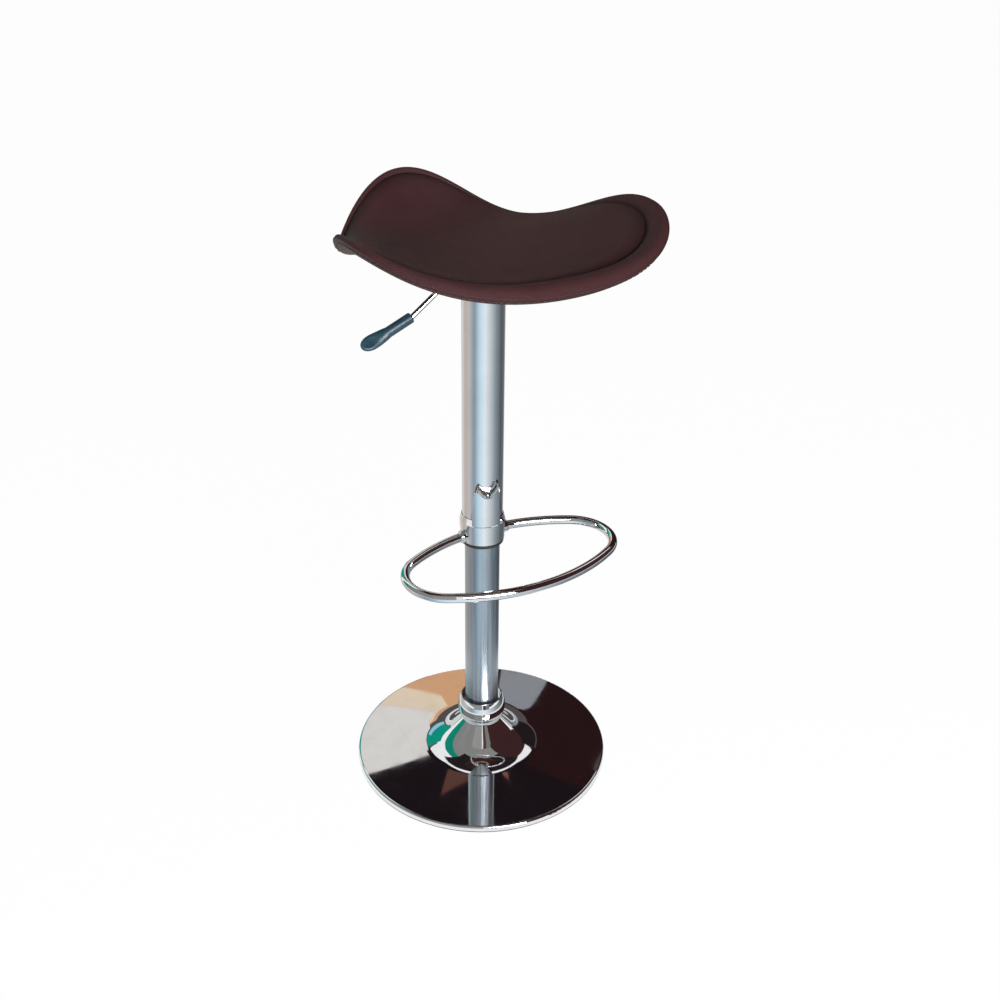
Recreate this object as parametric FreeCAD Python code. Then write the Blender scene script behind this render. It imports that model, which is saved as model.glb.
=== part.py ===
"""Saddle bar stool on a gas-lift column, one STEP file per piece.

Millimetres. +Z is up, the origin is on the floor on the column's axis. The sitter faces -Y, and the
release lever is on the sitter's right, at -X. The stool stands at the top of its lift.
"""
import FreeCAD
import Part
import math
import os

Vector = FreeCAD.Vector
UP = Vector(0, 0, 1)
ORIGIN = Vector(0, 0, 0)

# Fits
RUN_CLEARANCE = 0.1
SEAT_CLEARANCE = 0.05
SOFT_GAP = 0.3
CUT_PAST = 1.0
EDGE_BREAK = 1.0

# Base
BASE_DIAMETER = 385.0
COVER_SHEET = 1.5
COVER_LIFT = 1.5
RIM_HEIGHT = 9.0
RIM_ROUND = 5.0
FLARE_RADIUS = 66.0
FLARE_HEIGHT = 21.0
FLARE_ROUND = 70.0
NECK_RADIUS = 29.0
NECK_HEIGHT = 60.0
FLOOR_RING_WIDTH = 9.5
FLOOR_RING_HEIGHT = 3.5
WEIGHT_DIAMETER = 300.0
WEIGHT_LIFT = 2.0
WEIGHT_THICKNESS = 5.0
WEIGHT_BOSS_DIAMETER = 120.0
WEIGHT_BOSS_HEIGHT = 10.0
WEIGHT_BORE = 44.0
WEIGHT_FILLET = 2.0
BOLT_HEAD_ROOM = 1.0
BOLT_TAIL = 1.0
FLANGE_DIAMETER = 110.0
FLANGE_THICKNESS = 5.0
BASE_BOLT_COUNT = 3
BASE_BOLT_CIRCLE = 84.0
BASE_BOLT_DIAMETER = 8.0
BASE_BOLT_HEAD = 13.0
BASE_BOLT_HEAD_HEIGHT = 5.3
BASE_NUT_HEIGHT = 6.5
NECK_RING_BULGE = 35.5
NECK_RING_BELLY = 16.6
NECK_RING_TOP_RADIUS = 31.2
NECK_RING_HEIGHT = 41.5
NECK_RING_SPIGOT = 8.0
NECK_RING_WALL = 1.6
NECK_RING_RECESS = 9.0

# Column
LOWER_TUBE_DIAMETER = 50.0
UPPER_TUBE_DIAMETER = 58.0
TUBE_WALL = 1.5
LOWER_TUBE_TOP = 490.0
UPPER_TUBE_BOTTOM = 382.0
GUIDE_BUSH_LENGTH = 80.0
GUIDE_BUSH_FLANGE = 2.5
TUBE_BUSH_FLANGE = 6.0
TUBE_BUSH_FLANGE_DIAMETER = 61.0
TUBE_BUSH_SLEEVE = 30.0
TUBE_CAP_THICKNESS = 7.0

# Gas spring, with its rod down and its release valve up
CYLINDER_DIAMETER = 28.0
CYLINDER_WALL = 1.5
CYLINDER_BOTTOM = 328.0
CYLINDER_LIP = 2.0
CYLINDER_LIP_BORE = 14.0
VALVE_BLOCK_LENGTH = 58.0
TAPER_LENGTH = 36.0
TAPER_TOP_DIAMETER = 26.0
GLAND_LENGTH = 22.0
ROD_DIAMETER = 10.0
ROD_STUD_DIAMETER = 8.0
PISTON_LENGTH = 20.0
PISTON_REBOUND_GAP = 4.0
PISTON_SEAL_WIDTH = 6.0
PISTON_SEAL_DEPTH = 2.0
RIVET_HEAD_DIAMETER = 12.0
RIVET_HEAD_HEIGHT = 3.0
PIN_DIAMETER = 5.0
PIN_LENGTH = 24.0
PIN_STAND = 3.5

# Thrust bearing at the foot of the rod
RACE_THICKNESS = 2.0
RACE_DIAMETER = 28.0
BALL_DIAMETER = 4.0
BALL_COUNT = 8
BALL_CIRCLE = 20.0
CAGE_THICKNESS = 1.6
CAGE_MARGIN = 1.0
ROD_WASHER_DIAMETER = 18.0
ROD_WASHER_THICKNESS = 2.0
ROD_CLIP_DIAMETER = 14.0
ROD_CLIP_THICKNESS = 1.2
ROD_CLIP_GROOVE = 0.8
ROD_CLIP_MOUTH = 4.0
ROD_STUD_TAIL = 2.4

# Footrest
FOOTREST_TUBE_DIAMETER = 13.0
FOOTREST_TUBE_WALL = 1.2
FOOTREST_HALF_WIDTH = 155.0
FOOTREST_HALF_DEPTH = 82.7
FOOTREST_END_RADIUS = 57.0
FOOTREST_SETBACK = 0.9
FOOTREST_RISE = 9.0
COLLAR_WALL = 2.5
COLLAR_BAND_STEP = 0.9
COLLAR_BODY_HEIGHT = 19.0
COLLAR_BAND_HEIGHT = 11.0
COLLAR_SHOULDER_HEIGHT = 9.0
COLLAR_BOSS_DIAMETER = 19.0
COLLAR_BOSS_REACH = 37.0
COLLAR_EDGE_ROUND = 0.8
ARM_SOCKET_DEPTH = 6.0
TONGUE_TURN = -17.0
TONGUE_THICKNESS = 3.1
TONGUE_FOOT_HALF_WIDTH = 20.7
TONGUE_TOP_HALF_WIDTH = 17.8
TONGUE_HORN_OFFSET = 11.8
TONGUE_SHOULDER_RISE = 50.0
TONGUE_NOTCH_RISE = 60.0
TONGUE_HORN_RISE = 68.0
TONGUE_LEAN = 9.0
SCREW_DIAMETER = 5.0
SCREW_SPREAD = 25.0

# Seat plate and lever
PLATE_WIDTH = 130.0
PLATE_SHEET = 2.5
PLATE_CORNER = 12.0
PAN_WIDTH = 80.0
PAN_LENGTH = 56.0
PAN_DEPTH = 22.0
PAN_CORNER = 9.0
SOCKET_DIAMETER = 36.0
PLATE_BOLT_SPACING = 104.0
PLATE_BOLT_DIAMETER = 6.0
PLATE_BOLT_ROOM = 0.4
PLATE_BOLT_HEAD = 10.0
PLATE_BOLT_HEAD_HEIGHT = 4.0
PLATE_WASHER_DIAMETER = 13.0
PLATE_WASHER_THICKNESS = 1.5
LEVER_DIAMETER = 7.0
LEVER_PIVOT_OFFSET = 30.0
LEVER_TIP = 2.0
LEVER_EYE_DIAMETER = 11.0
LEVER_EYE_WIDTH = 10.0
LEVER_PIN_DIAMETER = 5.0
LEVER_SLOT_ROOM = 1.0
LEVER_STRAIGHT = 54.0
LEVER_SLOPE = 37.0
LEVER_LEG = 61.0
LEVER_LEG_BEND = 25.0
LEVER_TAIL = 24.0
LEVER_TAIL_BEND = 12.0
EAR_SHEET = 2.0
EAR_GAP = 1.0
EAR_LENGTH = 12.0
PIN_TAIL = 1.0
HANDLE_SLOPE = 24.0
HANDLE_SOCKET_DIAMETER = 14.0
HANDLE_SOCKET_LENGTH = 36.0
HANDLE_LENGTH = 76.0
HANDLE_WIDTH = 20.0
HANDLE_THICKNESS = 10.0
HANDLE_UPTURN = 5.0
HANDLE_ROLL = 45.0
HANDLE_DISH_RADIUS = 60.0
HANDLE_DISH_DEPTH = 1.6
HANDLE_DISH_PLACE = 0.55
# Share of the paddle's length, then shares of its upturn, half width and half thickness there
HANDLE_STATIONS = ((0.0, 0.04, 0.7, 1.399), (0.2, 0.1, 0.86, 1.2), (0.5, 0.4, 1.0, 0.96),
                   (0.8, 0.8, 0.9, 0.8), (0.95, 0.95, 0.55, 0.56), (1.0, 1.0, 0.2, 0.3))

# Seat
SEAT_HEIGHT = 796.0
PAD_CROWN = 15.0
PAD_EDGE = 7.0
BORDER_THICKNESS = 5.5
BORDER_WIDTH = 30.0
SHELL_THICKNESS = 5.0
SHELL_INSET = 3.7
SHELL_BOSS_DIAMETER = 168.0
SHELL_BOSS_DROP = 2.7
COVER_SKIN = 1.3
COVER_CUTOUT = 190.0
PAD_ROUND = 4.5
EDGE_ROUND = 6.0
SEAM_ROUND = 4.0
TEE_NUT_FLANGE = 18.0
TEE_NUT_FLANGE_THICKNESS = 1.5
TEE_NUT_BARREL = 8.6
TEE_NUT_LENGTH = 8.5

# The seat's outline in plan: its reach from the column's axis at the wings, 45 degrees from the front,
# how much less it is at the front, the side and the rear shoulder, and how much more at the back
WING_REACH = 229.0
FRONT_SCOOP = 23.0
SIDE_WAIST = 28.5
SHOULDER_WAIST = 31.0
BACK_LOBE = 12.0

# The seat's saddle: how far the middle line climbs to the front and back edges, and how far the sides
# climb at the wings and fall away beside the back lobe
FRONT_CLIMB = 23.5
BACK_CLIMB = 69.5
BACK_CURVE = 3.5
SIDE_HALF_WIDTH = 207.0
WING_CLIMB = 71.0
BACK_SIDE_FALL = 118.5
WING_STATION = -35.5
FRONT_FADE = 700.0
BACK_FADE = 413.0
SLAB_MARGIN = 11.5
SLAB_STATIONS = 9
OUTLINE_SPANS = 16
TANGENT_STEP = 0.0002

# Places worked out from the sizes
lower_tube_r = LOWER_TUBE_DIAMETER / 2
upper_tube_r = UPPER_TUBE_DIAMETER / 2
lower_bore_r = lower_tube_r - TUBE_WALL
upper_bore_r = upper_tube_r - TUBE_WALL
cylinder_r = CYLINDER_DIAMETER / 2
cylinder_bore_r = cylinder_r - CYLINDER_WALL
rod_r = ROD_DIAMETER / 2
stud_r = ROD_STUD_DIAMETER / 2
base_r = BASE_DIAMETER / 2

flange_bottom = WEIGHT_LIFT + WEIGHT_BOSS_HEIGHT
flange_top = flange_bottom + FLANGE_THICKNESS
lower_race_top = flange_top + RACE_THICKNESS
upper_race_bottom = lower_race_top + BALL_DIAMETER
rod_shoulder = upper_race_bottom + RACE_THICKNESS
gland_top = CYLINDER_BOTTOM + CYLINDER_LIP + GLAND_LENGTH
piston_bottom = gland_top + PISTON_REBOUND_GAP
piston_top = piston_bottom + PISTON_LENGTH

front_reach = WING_REACH - FRONT_SCOOP
side_reach = WING_REACH - SIDE_WAIST
shoulder_reach = WING_REACH - SHOULDER_WAIST
back_reach = WING_REACH + BACK_LOBE
shell_top = SEAT_HEIGHT - PAD_CROWN - SOFT_GAP
plate_top = shell_top - SHELL_THICKNESS - SHELL_BOSS_DROP
plate_bottom = plate_top - PLATE_SHEET
pan_bottom = plate_top - PAN_DEPTH
pan_floor = pan_bottom + PLATE_SHEET
lever_z = plate_bottom - LEVER_DIAMETER
pin_top = lever_z - LEVER_DIAMETER / 2 - RUN_CLEARANCE
cylinder_top = pin_top - PIN_STAND
taper_bottom = cylinder_top - TAPER_LENGTH
cap_top = taper_bottom - SEAT_CLEARANCE
footrest_z = UPPER_TUBE_BOTTOM + FOOTREST_RISE
collar_r = upper_tube_r + COLLAR_WALL
band_r = collar_r + COLLAR_BAND_STEP
collar_bore_r = upper_tube_r + SEAT_CLEARANCE
collar_body_top = UPPER_TUBE_BOTTOM + COLLAR_BODY_HEIGHT
collar_band_top = collar_body_top + COLLAR_BAND_HEIGHT
collar_top = collar_band_top + COLLAR_SHOULDER_HEIGHT


# Helpers
def cylinder(radius, bottom, top, x=0.0, y=0.0):
    """Upright cylinder between two heights."""
    return Part.makeCylinder(radius, top - bottom, Vector(x, y, bottom))


def tube(inner, outer, bottom, top, x=0.0, y=0.0):
    """Upright tube between two heights."""
    return cylinder(outer, bottom, top, x, y).cut(cylinder(inner, bottom - CUT_PAST, top + CUT_PAST, x, y))


def hexagon(across_flats, bottom, top, x=0.0, y=0.0):
    """Upright hexagonal prism, as a bolt head or a nut."""
    corner_r = across_flats / 2 / math.cos(math.pi / 6)
    corners = [Vector(x + u, y + v, bottom) for u, v in around(6, corner_r)]
    corners.append(corners[0])
    return Part.Face(Part.makePolygon(corners)).extrude(UP * (top - bottom))


def box(x0, x1, y0, y1, z0, z1):
    """Box between two corners."""
    return Part.makeBox(x1 - x0, y1 - y0, z1 - z0, Vector(x0, y0, z0))


def rounded_box(width, length, corner, bottom, top):
    """Upright box centred on the column's axis, with round upright edges."""
    block = box(-width / 2, width / 2, -length / 2, length / 2, bottom, top)
    upright = [e for e in block.Edges if abs(e.tangentAt(e.FirstParameter).z) > 0.99]
    return block.makeFillet(corner, upright)


def rounded_path(corners, closed=False):
    """Edges through (x, z) corners in the XZ plane. A third number rounds its corner, if its legs allow."""
    points = [Vector(c[0], 0, c[1]) for c in corners]
    radii = [c[2] if len(c) > 2 else 0.0 for c in corners]
    count = len(points)
    ends = []
    for i, point in enumerate(points):
        at_end = not closed and i in (0, count - 1)
        if at_end or radii[i] == 0.0:
            ends.append((point, None, point))
            continue
        before = points[i - 1] - point
        after = points[(i + 1) % count] - point
        half = before.getAngle(after) / 2
        leg = min(radii[i] / math.tan(half), 0.49 * before.Length, 0.49 * after.Length)
        radius = leg * math.tan(half)
        before.normalize()
        after.normalize()
        inward = (before + after).normalize()
        middle = point + inward * (radius / math.sin(half) - radius)
        ends.append((point + before * leg, middle, point + after * leg))
    edges = []
    last = count if closed else count - 1
    for i, (start, middle, finish) in enumerate(ends):
        if middle is not None:
            edges.append(Part.Arc(start, middle, finish).toShape())
        if i < last:
            following = ends[(i + 1) % count][0]
            if (following - finish).Length > 1e-6:
                edges.append(Part.makeLine(finish, following))
    return edges


def offset_corners(corners, distance):
    """The same open path moved sideways by a sheet's thickness, to the left of its run."""
    lines = []
    for (x0, z0, *_), (x1, z1, *_) in zip(corners, corners[1:]):
        length = math.hypot(x1 - x0, z1 - z0)
        dx, dz = (x1 - x0) / length, (z1 - z0) / length
        lines.append((x0 - dz * distance, z0 + dx * distance, dx, dz))
    moved = [(lines[0][0], lines[0][1])]
    for i, ((ax, az, adx, adz), (bx, bz, bdx, bdz)) in enumerate(zip(lines, lines[1:])):
        cross = adx * bdz - adz * bdx
        along = ((bx - ax) * bdz - (bz - az) * bdx) / cross
        radius = corners[i + 1][2]
        turned = radius - distance if cross > 0 else radius + distance
        moved.append((ax + adx * along, az + adz * along, turned))
    x0, z0, dx, dz = lines[-1]
    run = math.hypot(corners[-1][0] - corners[-2][0], corners[-1][1] - corners[-2][1])
    moved.append((x0 + dx * run, z0 + dz * run))
    return moved


def turned(edges):
    """Solid of revolution about the column's axis from closed profile edges."""
    return Part.Face(Part.Wire(Part.__sortEdges__(edges))).revolve(ORIGIN, UP, 360)


def turned_corners(corners):
    """Solid of revolution from (radius, height) corners."""
    return turned(rounded_path(corners, closed=True))


def circle_wire(centre, axis, radius):
    return Part.Wire(Part.makeCircle(radius, centre, axis))


def pipe(path, radius):
    """Solid round bar along a wire of lines and tangent arcs."""
    first = path.OrderedEdges[0]
    start = first.valueAt(first.FirstParameter)
    along = first.tangentAt(first.FirstParameter)
    if (path.OrderedVertexes[0].Point - start).Length > 1e-6:
        start = first.valueAt(first.LastParameter)
        along = first.tangentAt(first.LastParameter)
    return path.makePipeShell([circle_wire(start, along, radius)], True, False)


def around(count, radius, start=0.0):
    """Points evenly spaced on a circle."""
    turns = [start + i * 2 * math.pi / count for i in range(count)]
    return [(radius * math.cos(a), radius * math.sin(a)) for a in turns]


def group(solids):
    return Part.makeCompound(solids)


# Base
def base_cover():
    outer = [(base_r, COVER_LIFT), (base_r, RIM_HEIGHT, RIM_ROUND),
             (FLARE_RADIUS, FLARE_HEIGHT, FLARE_ROUND), (NECK_RADIUS, NECK_HEIGHT)]
    inner = offset_corners(outer, COVER_SHEET)
    inner[-1] = cut_at_height(inner[-2], inner[-1], NECK_HEIGHT)
    edges = rounded_path(outer) + rounded_path(inner)
    edges.append(Part.makeLine(Vector(outer[0][0], 0, outer[0][1]), Vector(inner[0][0], 0, inner[0][1])))
    edges.append(Part.makeLine(Vector(outer[-1][0], 0, outer[-1][1]), Vector(inner[-1][0], 0, inner[-1][1])))
    return turned(edges)


def cut_at_height(start, end, height):
    """Point at a height on the line through two (radius, height) points."""
    share = (height - start[1]) / (end[1] - start[1])
    return (start[0] + (end[0] - start[0]) * share, height)


def neck_bore_radius():
    """Inner radius of the cover at its neck."""
    run = math.hypot(FLARE_RADIUS - NECK_RADIUS, NECK_HEIGHT - FLARE_HEIGHT)
    return NECK_RADIUS - COVER_SHEET * run / (NECK_HEIGHT - FLARE_HEIGHT)


def floor_ring():
    outer = base_r - SOFT_GAP
    inside = base_r - COVER_SHEET - SEAT_CLEARANCE
    inner = base_r - COVER_SHEET - FLOOR_RING_WIDTH
    top = COVER_LIFT + FLOOR_RING_HEIGHT
    return turned_corners([(inner, 0), (outer, 0), (outer, COVER_LIFT), (inside, COVER_LIFT), (inside, top),
                           (inner, top)])


def base_weight():
    outer, boss, bore = WEIGHT_DIAMETER / 2, WEIGHT_BOSS_DIAMETER / 2, WEIGHT_BORE / 2
    top = WEIGHT_LIFT + WEIGHT_THICKNESS
    disc = turned_corners([(bore, WEIGHT_LIFT), (outer, WEIGHT_LIFT), (outer, top, WEIGHT_FILLET),
                           (boss + WEIGHT_FILLET, top, WEIGHT_FILLET), (boss, flange_bottom),
                           (bore, flange_bottom)])
    head_r = BASE_BOLT_HEAD / 2 / math.cos(math.pi / 6) + BOLT_HEAD_ROOM
    for x, y in around(BASE_BOLT_COUNT, BASE_BOLT_CIRCLE / 2):
        disc = disc.cut(cylinder(BASE_BOLT_DIAMETER / 2 + RUN_CLEARANCE, 0, flange_top, x, y))
        disc = disc.cut(cylinder(head_r, 0, WEIGHT_LIFT + BASE_BOLT_HEAD_HEIGHT, x, y))
    return disc


def tube_flange():
    plate = tube(stud_r + RUN_CLEARANCE, FLANGE_DIAMETER / 2, flange_bottom, flange_top)
    for x, y in around(BASE_BOLT_COUNT, BASE_BOLT_CIRCLE / 2):
        plate = plate.cut(cylinder(BASE_BOLT_DIAMETER / 2 + RUN_CLEARANCE, 0, flange_top + CUT_PAST, x, y))
    return plate


def base_bolts():
    head_top = WEIGHT_LIFT + BASE_BOLT_HEAD_HEIGHT
    solids = []
    for x, y in around(BASE_BOLT_COUNT, BASE_BOLT_CIRCLE / 2):
        head = hexagon(BASE_BOLT_HEAD, WEIGHT_LIFT, head_top, x, y)
        shank = cylinder(BASE_BOLT_DIAMETER / 2, WEIGHT_LIFT, flange_top + BASE_NUT_HEIGHT + BOLT_TAIL, x, y)
        solids.append(head.fuse(shank).removeSplitter())
    return group(solids)


def base_nuts():
    bore = BASE_BOLT_DIAMETER / 2 + SEAT_CLEARANCE
    top = flange_top + BASE_NUT_HEIGHT
    solids = []
    for x, y in around(BASE_BOLT_COUNT, BASE_BOLT_CIRCLE / 2):
        hole = cylinder(bore, 0, top + CUT_PAST, x, y)
        solids.append(hexagon(BASE_BOLT_HEAD, flange_top, top, x, y).cut(hole))
    return group(solids)


def neck_ring():
    """Barrel-shaped trim ring that hides the joint of tube and cover, with an open lip at its top."""
    bore = lower_tube_r + SEAT_CLEARANCE
    spigot = neck_bore_radius() - SEAT_CLEARANCE
    foot = NECK_HEIGHT - NECK_RING_SPIGOT
    top = NECK_HEIGHT + NECK_RING_HEIGHT
    lip = NECK_RING_TOP_RADIUS - NECK_RING_WALL
    belly = NECK_HEIGHT + NECK_RING_BELLY
    skirt = Vector(NECK_RADIUS, 0, NECK_HEIGHT)
    rim = Vector(NECK_RING_TOP_RADIUS, 0, top)
    side = Part.Arc(skirt, Vector(NECK_RING_BULGE, 0, belly), rim).toBSpline().toShape()
    recess = top - NECK_RING_RECESS
    corners = [(NECK_RING_TOP_RADIUS, top), (lip, top), (lip, recess), (bore, recess), (bore, foot),
               (spigot, foot), (spigot, NECK_HEIGHT), (NECK_RADIUS, NECK_HEIGHT)]
    return turned(rounded_path(corners) + [side])


# Column
def lower_tube():
    return tube(lower_bore_r, lower_tube_r, flange_top, LOWER_TUBE_TOP)


def guide_bush():
    bore = cylinder_r + RUN_CLEARANCE
    sleeve = lower_bore_r - SEAT_CLEARANCE
    bottom = LOWER_TUBE_TOP - GUIDE_BUSH_LENGTH
    top = LOWER_TUBE_TOP + GUIDE_BUSH_FLANGE
    return turned_corners([(bore, bottom), (sleeve, bottom, EDGE_BREAK), (sleeve, LOWER_TUBE_TOP),
                           (lower_tube_r, LOWER_TUBE_TOP), (lower_tube_r, top, EDGE_BREAK),
                           (bore, top, EDGE_BREAK)])


def upper_tube():
    return tube(upper_bore_r, upper_tube_r, UPPER_TUBE_BOTTOM, pan_bottom)


def tube_cap():
    return tube(cylinder_r + SEAT_CLEARANCE, upper_bore_r - SEAT_CLEARANCE,
                cap_top - TUBE_CAP_THICKNESS, cap_top)


def tube_bush():
    bore = lower_tube_r + RUN_CLEARANCE
    sleeve = upper_bore_r - SEAT_CLEARANCE
    flange = TUBE_BUSH_FLANGE_DIAMETER / 2
    bottom = UPPER_TUBE_BOTTOM - TUBE_BUSH_FLANGE
    top = UPPER_TUBE_BOTTOM + TUBE_BUSH_SLEEVE
    return turned_corners([(bore, bottom), (flange, bottom, 2 * EDGE_BREAK), (flange, UPPER_TUBE_BOTTOM),
                           (sleeve, UPPER_TUBE_BOTTOM), (sleeve, top), (bore, top)])


# Gas spring
def gas_cylinder():
    barrel = turned_corners([(0, CYLINDER_BOTTOM), (cylinder_r, CYLINDER_BOTTOM, EDGE_BREAK),
                             (cylinder_r, taper_bottom),
                             (TAPER_TOP_DIAMETER / 2, cylinder_top, EDGE_BREAK), (0, cylinder_top)])
    floor, ceiling = CYLINDER_BOTTOM + CYLINDER_LIP, cylinder_top - VALVE_BLOCK_LENGTH
    chamber = cylinder(cylinder_bore_r, floor, ceiling)
    mouth = cylinder(CYLINDER_LIP_BORE / 2, CYLINDER_BOTTOM - CUT_PAST, floor + CUT_PAST)
    pin_bore = cylinder(PIN_DIAMETER / 2 + RUN_CLEARANCE, ceiling - CUT_PAST, cylinder_top + CUT_PAST)
    return barrel.cut(chamber.fuse([mouth, pin_bore]))


def cylinder_gland():
    return tube(rod_r + RUN_CLEARANCE, cylinder_bore_r - SEAT_CLEARANCE,
                CYLINDER_BOTTOM + CYLINDER_LIP, gland_top)


def piston_rod():
    """Stepped rod: a stud with a clip groove below, and a riveted stud that holds the piston above."""
    tail = clip_bottom() - ROD_STUD_TAIL
    neck = stud_r - ROD_CLIP_GROOVE
    rivet = piston_top + RIVET_HEAD_HEIGHT
    return turned_corners([(0, tail), (stud_r, tail, EDGE_BREAK), (stud_r, clip_bottom()),
                           (neck, clip_bottom()),
                           (neck, clip_top()), (stud_r, clip_top()), (stud_r, rod_shoulder),
                           (rod_r, rod_shoulder),
                           (rod_r, piston_bottom), (stud_r, piston_bottom), (stud_r, piston_top),
                           (RIVET_HEAD_DIAMETER / 2, piston_top),
                           (RIVET_HEAD_DIAMETER / 2, rivet, 2 * EDGE_BREAK), (0, rivet)])


def piston():
    outer = cylinder_bore_r - RUN_CLEARANCE
    groove = outer - PISTON_SEAL_DEPTH
    low = piston_bottom + (PISTON_LENGTH - PISTON_SEAL_WIDTH) / 2
    body = tube(stud_r + SEAT_CLEARANCE, outer, piston_bottom, piston_top)
    return body.cut(tube(groove, outer + CUT_PAST, low, low + PISTON_SEAL_WIDTH))


def piston_seal():
    low = piston_bottom + (PISTON_LENGTH - PISTON_SEAL_WIDTH) / 2
    inner = cylinder_bore_r - RUN_CLEARANCE - PISTON_SEAL_DEPTH + SEAT_CLEARANCE
    high = low + PISTON_SEAL_WIDTH
    return tube(inner, cylinder_bore_r - SEAT_CLEARANCE, low + SEAT_CLEARANCE, high - SEAT_CLEARANCE)


def release_pin():
    """Round-headed valve button on the top of the gas spring."""
    r = PIN_DIAMETER / 2
    foot, shoulder = pin_top - PIN_LENGTH, pin_top - r
    corners = [(0, pin_top), (0, foot), (r, foot, EDGE_BREAK / 2), (r, shoulder)]
    slant = r * math.sqrt(0.5)
    dome = Part.Arc(Vector(r, 0, shoulder), Vector(slant, 0, shoulder + slant), Vector(0, 0, pin_top))
    return turned(rounded_path(corners) + [dome.toShape()])


# Thrust bearing
def bearing_lower_race():
    return tube(stud_r + SOFT_GAP, RACE_DIAMETER / 2, flange_top, lower_race_top)


def bearing_upper_race():
    return tube(stud_r + SEAT_CLEARANCE, RACE_DIAMETER / 2, upper_race_bottom, rod_shoulder)


def ball_centres():
    height = (lower_race_top + upper_race_bottom) / 2
    return [Vector(x, y, height) for x, y in around(BALL_COUNT, BALL_CIRCLE / 2)]


def bearing_balls():
    return group([Part.makeSphere(BALL_DIAMETER / 2 - SEAT_CLEARANCE, c) for c in ball_centres()])


def bearing_cage():
    middle = (lower_race_top + upper_race_bottom) / 2
    half = BALL_DIAMETER / 2 + CAGE_MARGIN
    low, high = middle - CAGE_THICKNESS / 2, middle + CAGE_THICKNESS / 2
    cage = tube(BALL_CIRCLE / 2 - half, BALL_CIRCLE / 2 + half, low, high)
    for c in ball_centres():
        cage = cage.cut(cylinder(BALL_DIAMETER / 2 + SEAT_CLEARANCE, low - CUT_PAST, high + CUT_PAST, c.x, c.y))
    return cage


def washer_bottom():
    return flange_bottom - SOFT_GAP - ROD_WASHER_THICKNESS


def clip_top():
    return washer_bottom()


def clip_bottom():
    return clip_top() - ROD_CLIP_THICKNESS


def rod_washer():
    top = washer_bottom() + ROD_WASHER_THICKNESS
    return tube(stud_r + SEAT_CLEARANCE, ROD_WASHER_DIAMETER / 2, washer_bottom(), top)


def rod_clip():
    """Spring clip pushed sideways into the rod's groove."""
    inner = stud_r - ROD_CLIP_GROOVE + SEAT_CLEARANCE
    clip = tube(inner, ROD_CLIP_DIAMETER / 2, clip_bottom() + SEAT_CLEARANCE, clip_top() - SEAT_CLEARANCE)
    half = ROD_CLIP_MOUTH / 2
    mouth = box(0, ROD_CLIP_DIAMETER, -half, half, clip_bottom() - CUT_PAST, clip_top() + CUT_PAST)
    return clip.cut(mouth)


# Footrest
def loop_radius():
    """Radius of the footrest's front and rear arcs, tangent to its end arcs."""
    a, b, r = FOOTREST_HALF_WIDTH, FOOTREST_HALF_DEPTH, FOOTREST_END_RADIUS
    return ((a - r) ** 2 + b ** 2 - r ** 2) / (2 * (b - r))


def loop_path():
    """Oval centreline: rear arc, end arc, front arc, end arc, rear arc, open at the collar."""
    long_r, end_r = loop_radius(), FOOTREST_END_RADIUS
    middle_y = -FOOTREST_SETBACK - FOOTREST_HALF_DEPTH
    rear_centre = Vector(0, middle_y + FOOTREST_HALF_DEPTH - long_r, footrest_z)
    front_centre = Vector(0, middle_y - FOOTREST_HALF_DEPTH + long_r, footrest_z)
    end_centre = Vector(FOOTREST_HALF_WIDTH - end_r, middle_y, footrest_z)
    start_x = COLLAR_BOSS_REACH - ARM_SOCKET_DEPTH
    start = rear_centre + Vector(start_x, math.sqrt(long_r ** 2 - start_x ** 2), 0)
    rear_join = rear_centre + (end_centre - rear_centre).normalize() * long_r
    front_join = front_centre + (end_centre - front_centre).normalize() * long_r
    halfway = (start - rear_centre).normalize() + (rear_join - rear_centre).normalize()
    rear_middle = rear_centre + halfway.normalize() * long_r
    end_middle = end_centre + Vector(end_r, 0, 0)
    front_middle = front_centre - Vector(0, long_r, 0)

    def mirrored(p):
        return Vector(-p.x, p.y, p.z)

    arcs = [(start, rear_middle, rear_join), (rear_join, end_middle, front_join),
            (front_join, front_middle, mirrored(front_join)),
            (mirrored(front_join), mirrored(end_middle), mirrored(rear_join)),
            (mirrored(rear_join), mirrored(rear_middle), mirrored(start))]
    return Part.Wire([Part.Arc(*arc).toShape() for arc in arcs])


def footrest_ring():
    path = loop_path()
    outer = pipe(path, FOOTREST_TUBE_DIAMETER / 2)
    return outer.cut(pipe(path, FOOTREST_TUBE_DIAMETER / 2 - FOOTREST_TUBE_WALL))


def arm_y():
    """How far forward of the column's axis the footrest's arms meet the collar."""
    long_r = loop_radius()
    return -FOOTREST_SETBACK - (long_r - math.sqrt(long_r ** 2 - COLLAR_BOSS_REACH ** 2))


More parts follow.
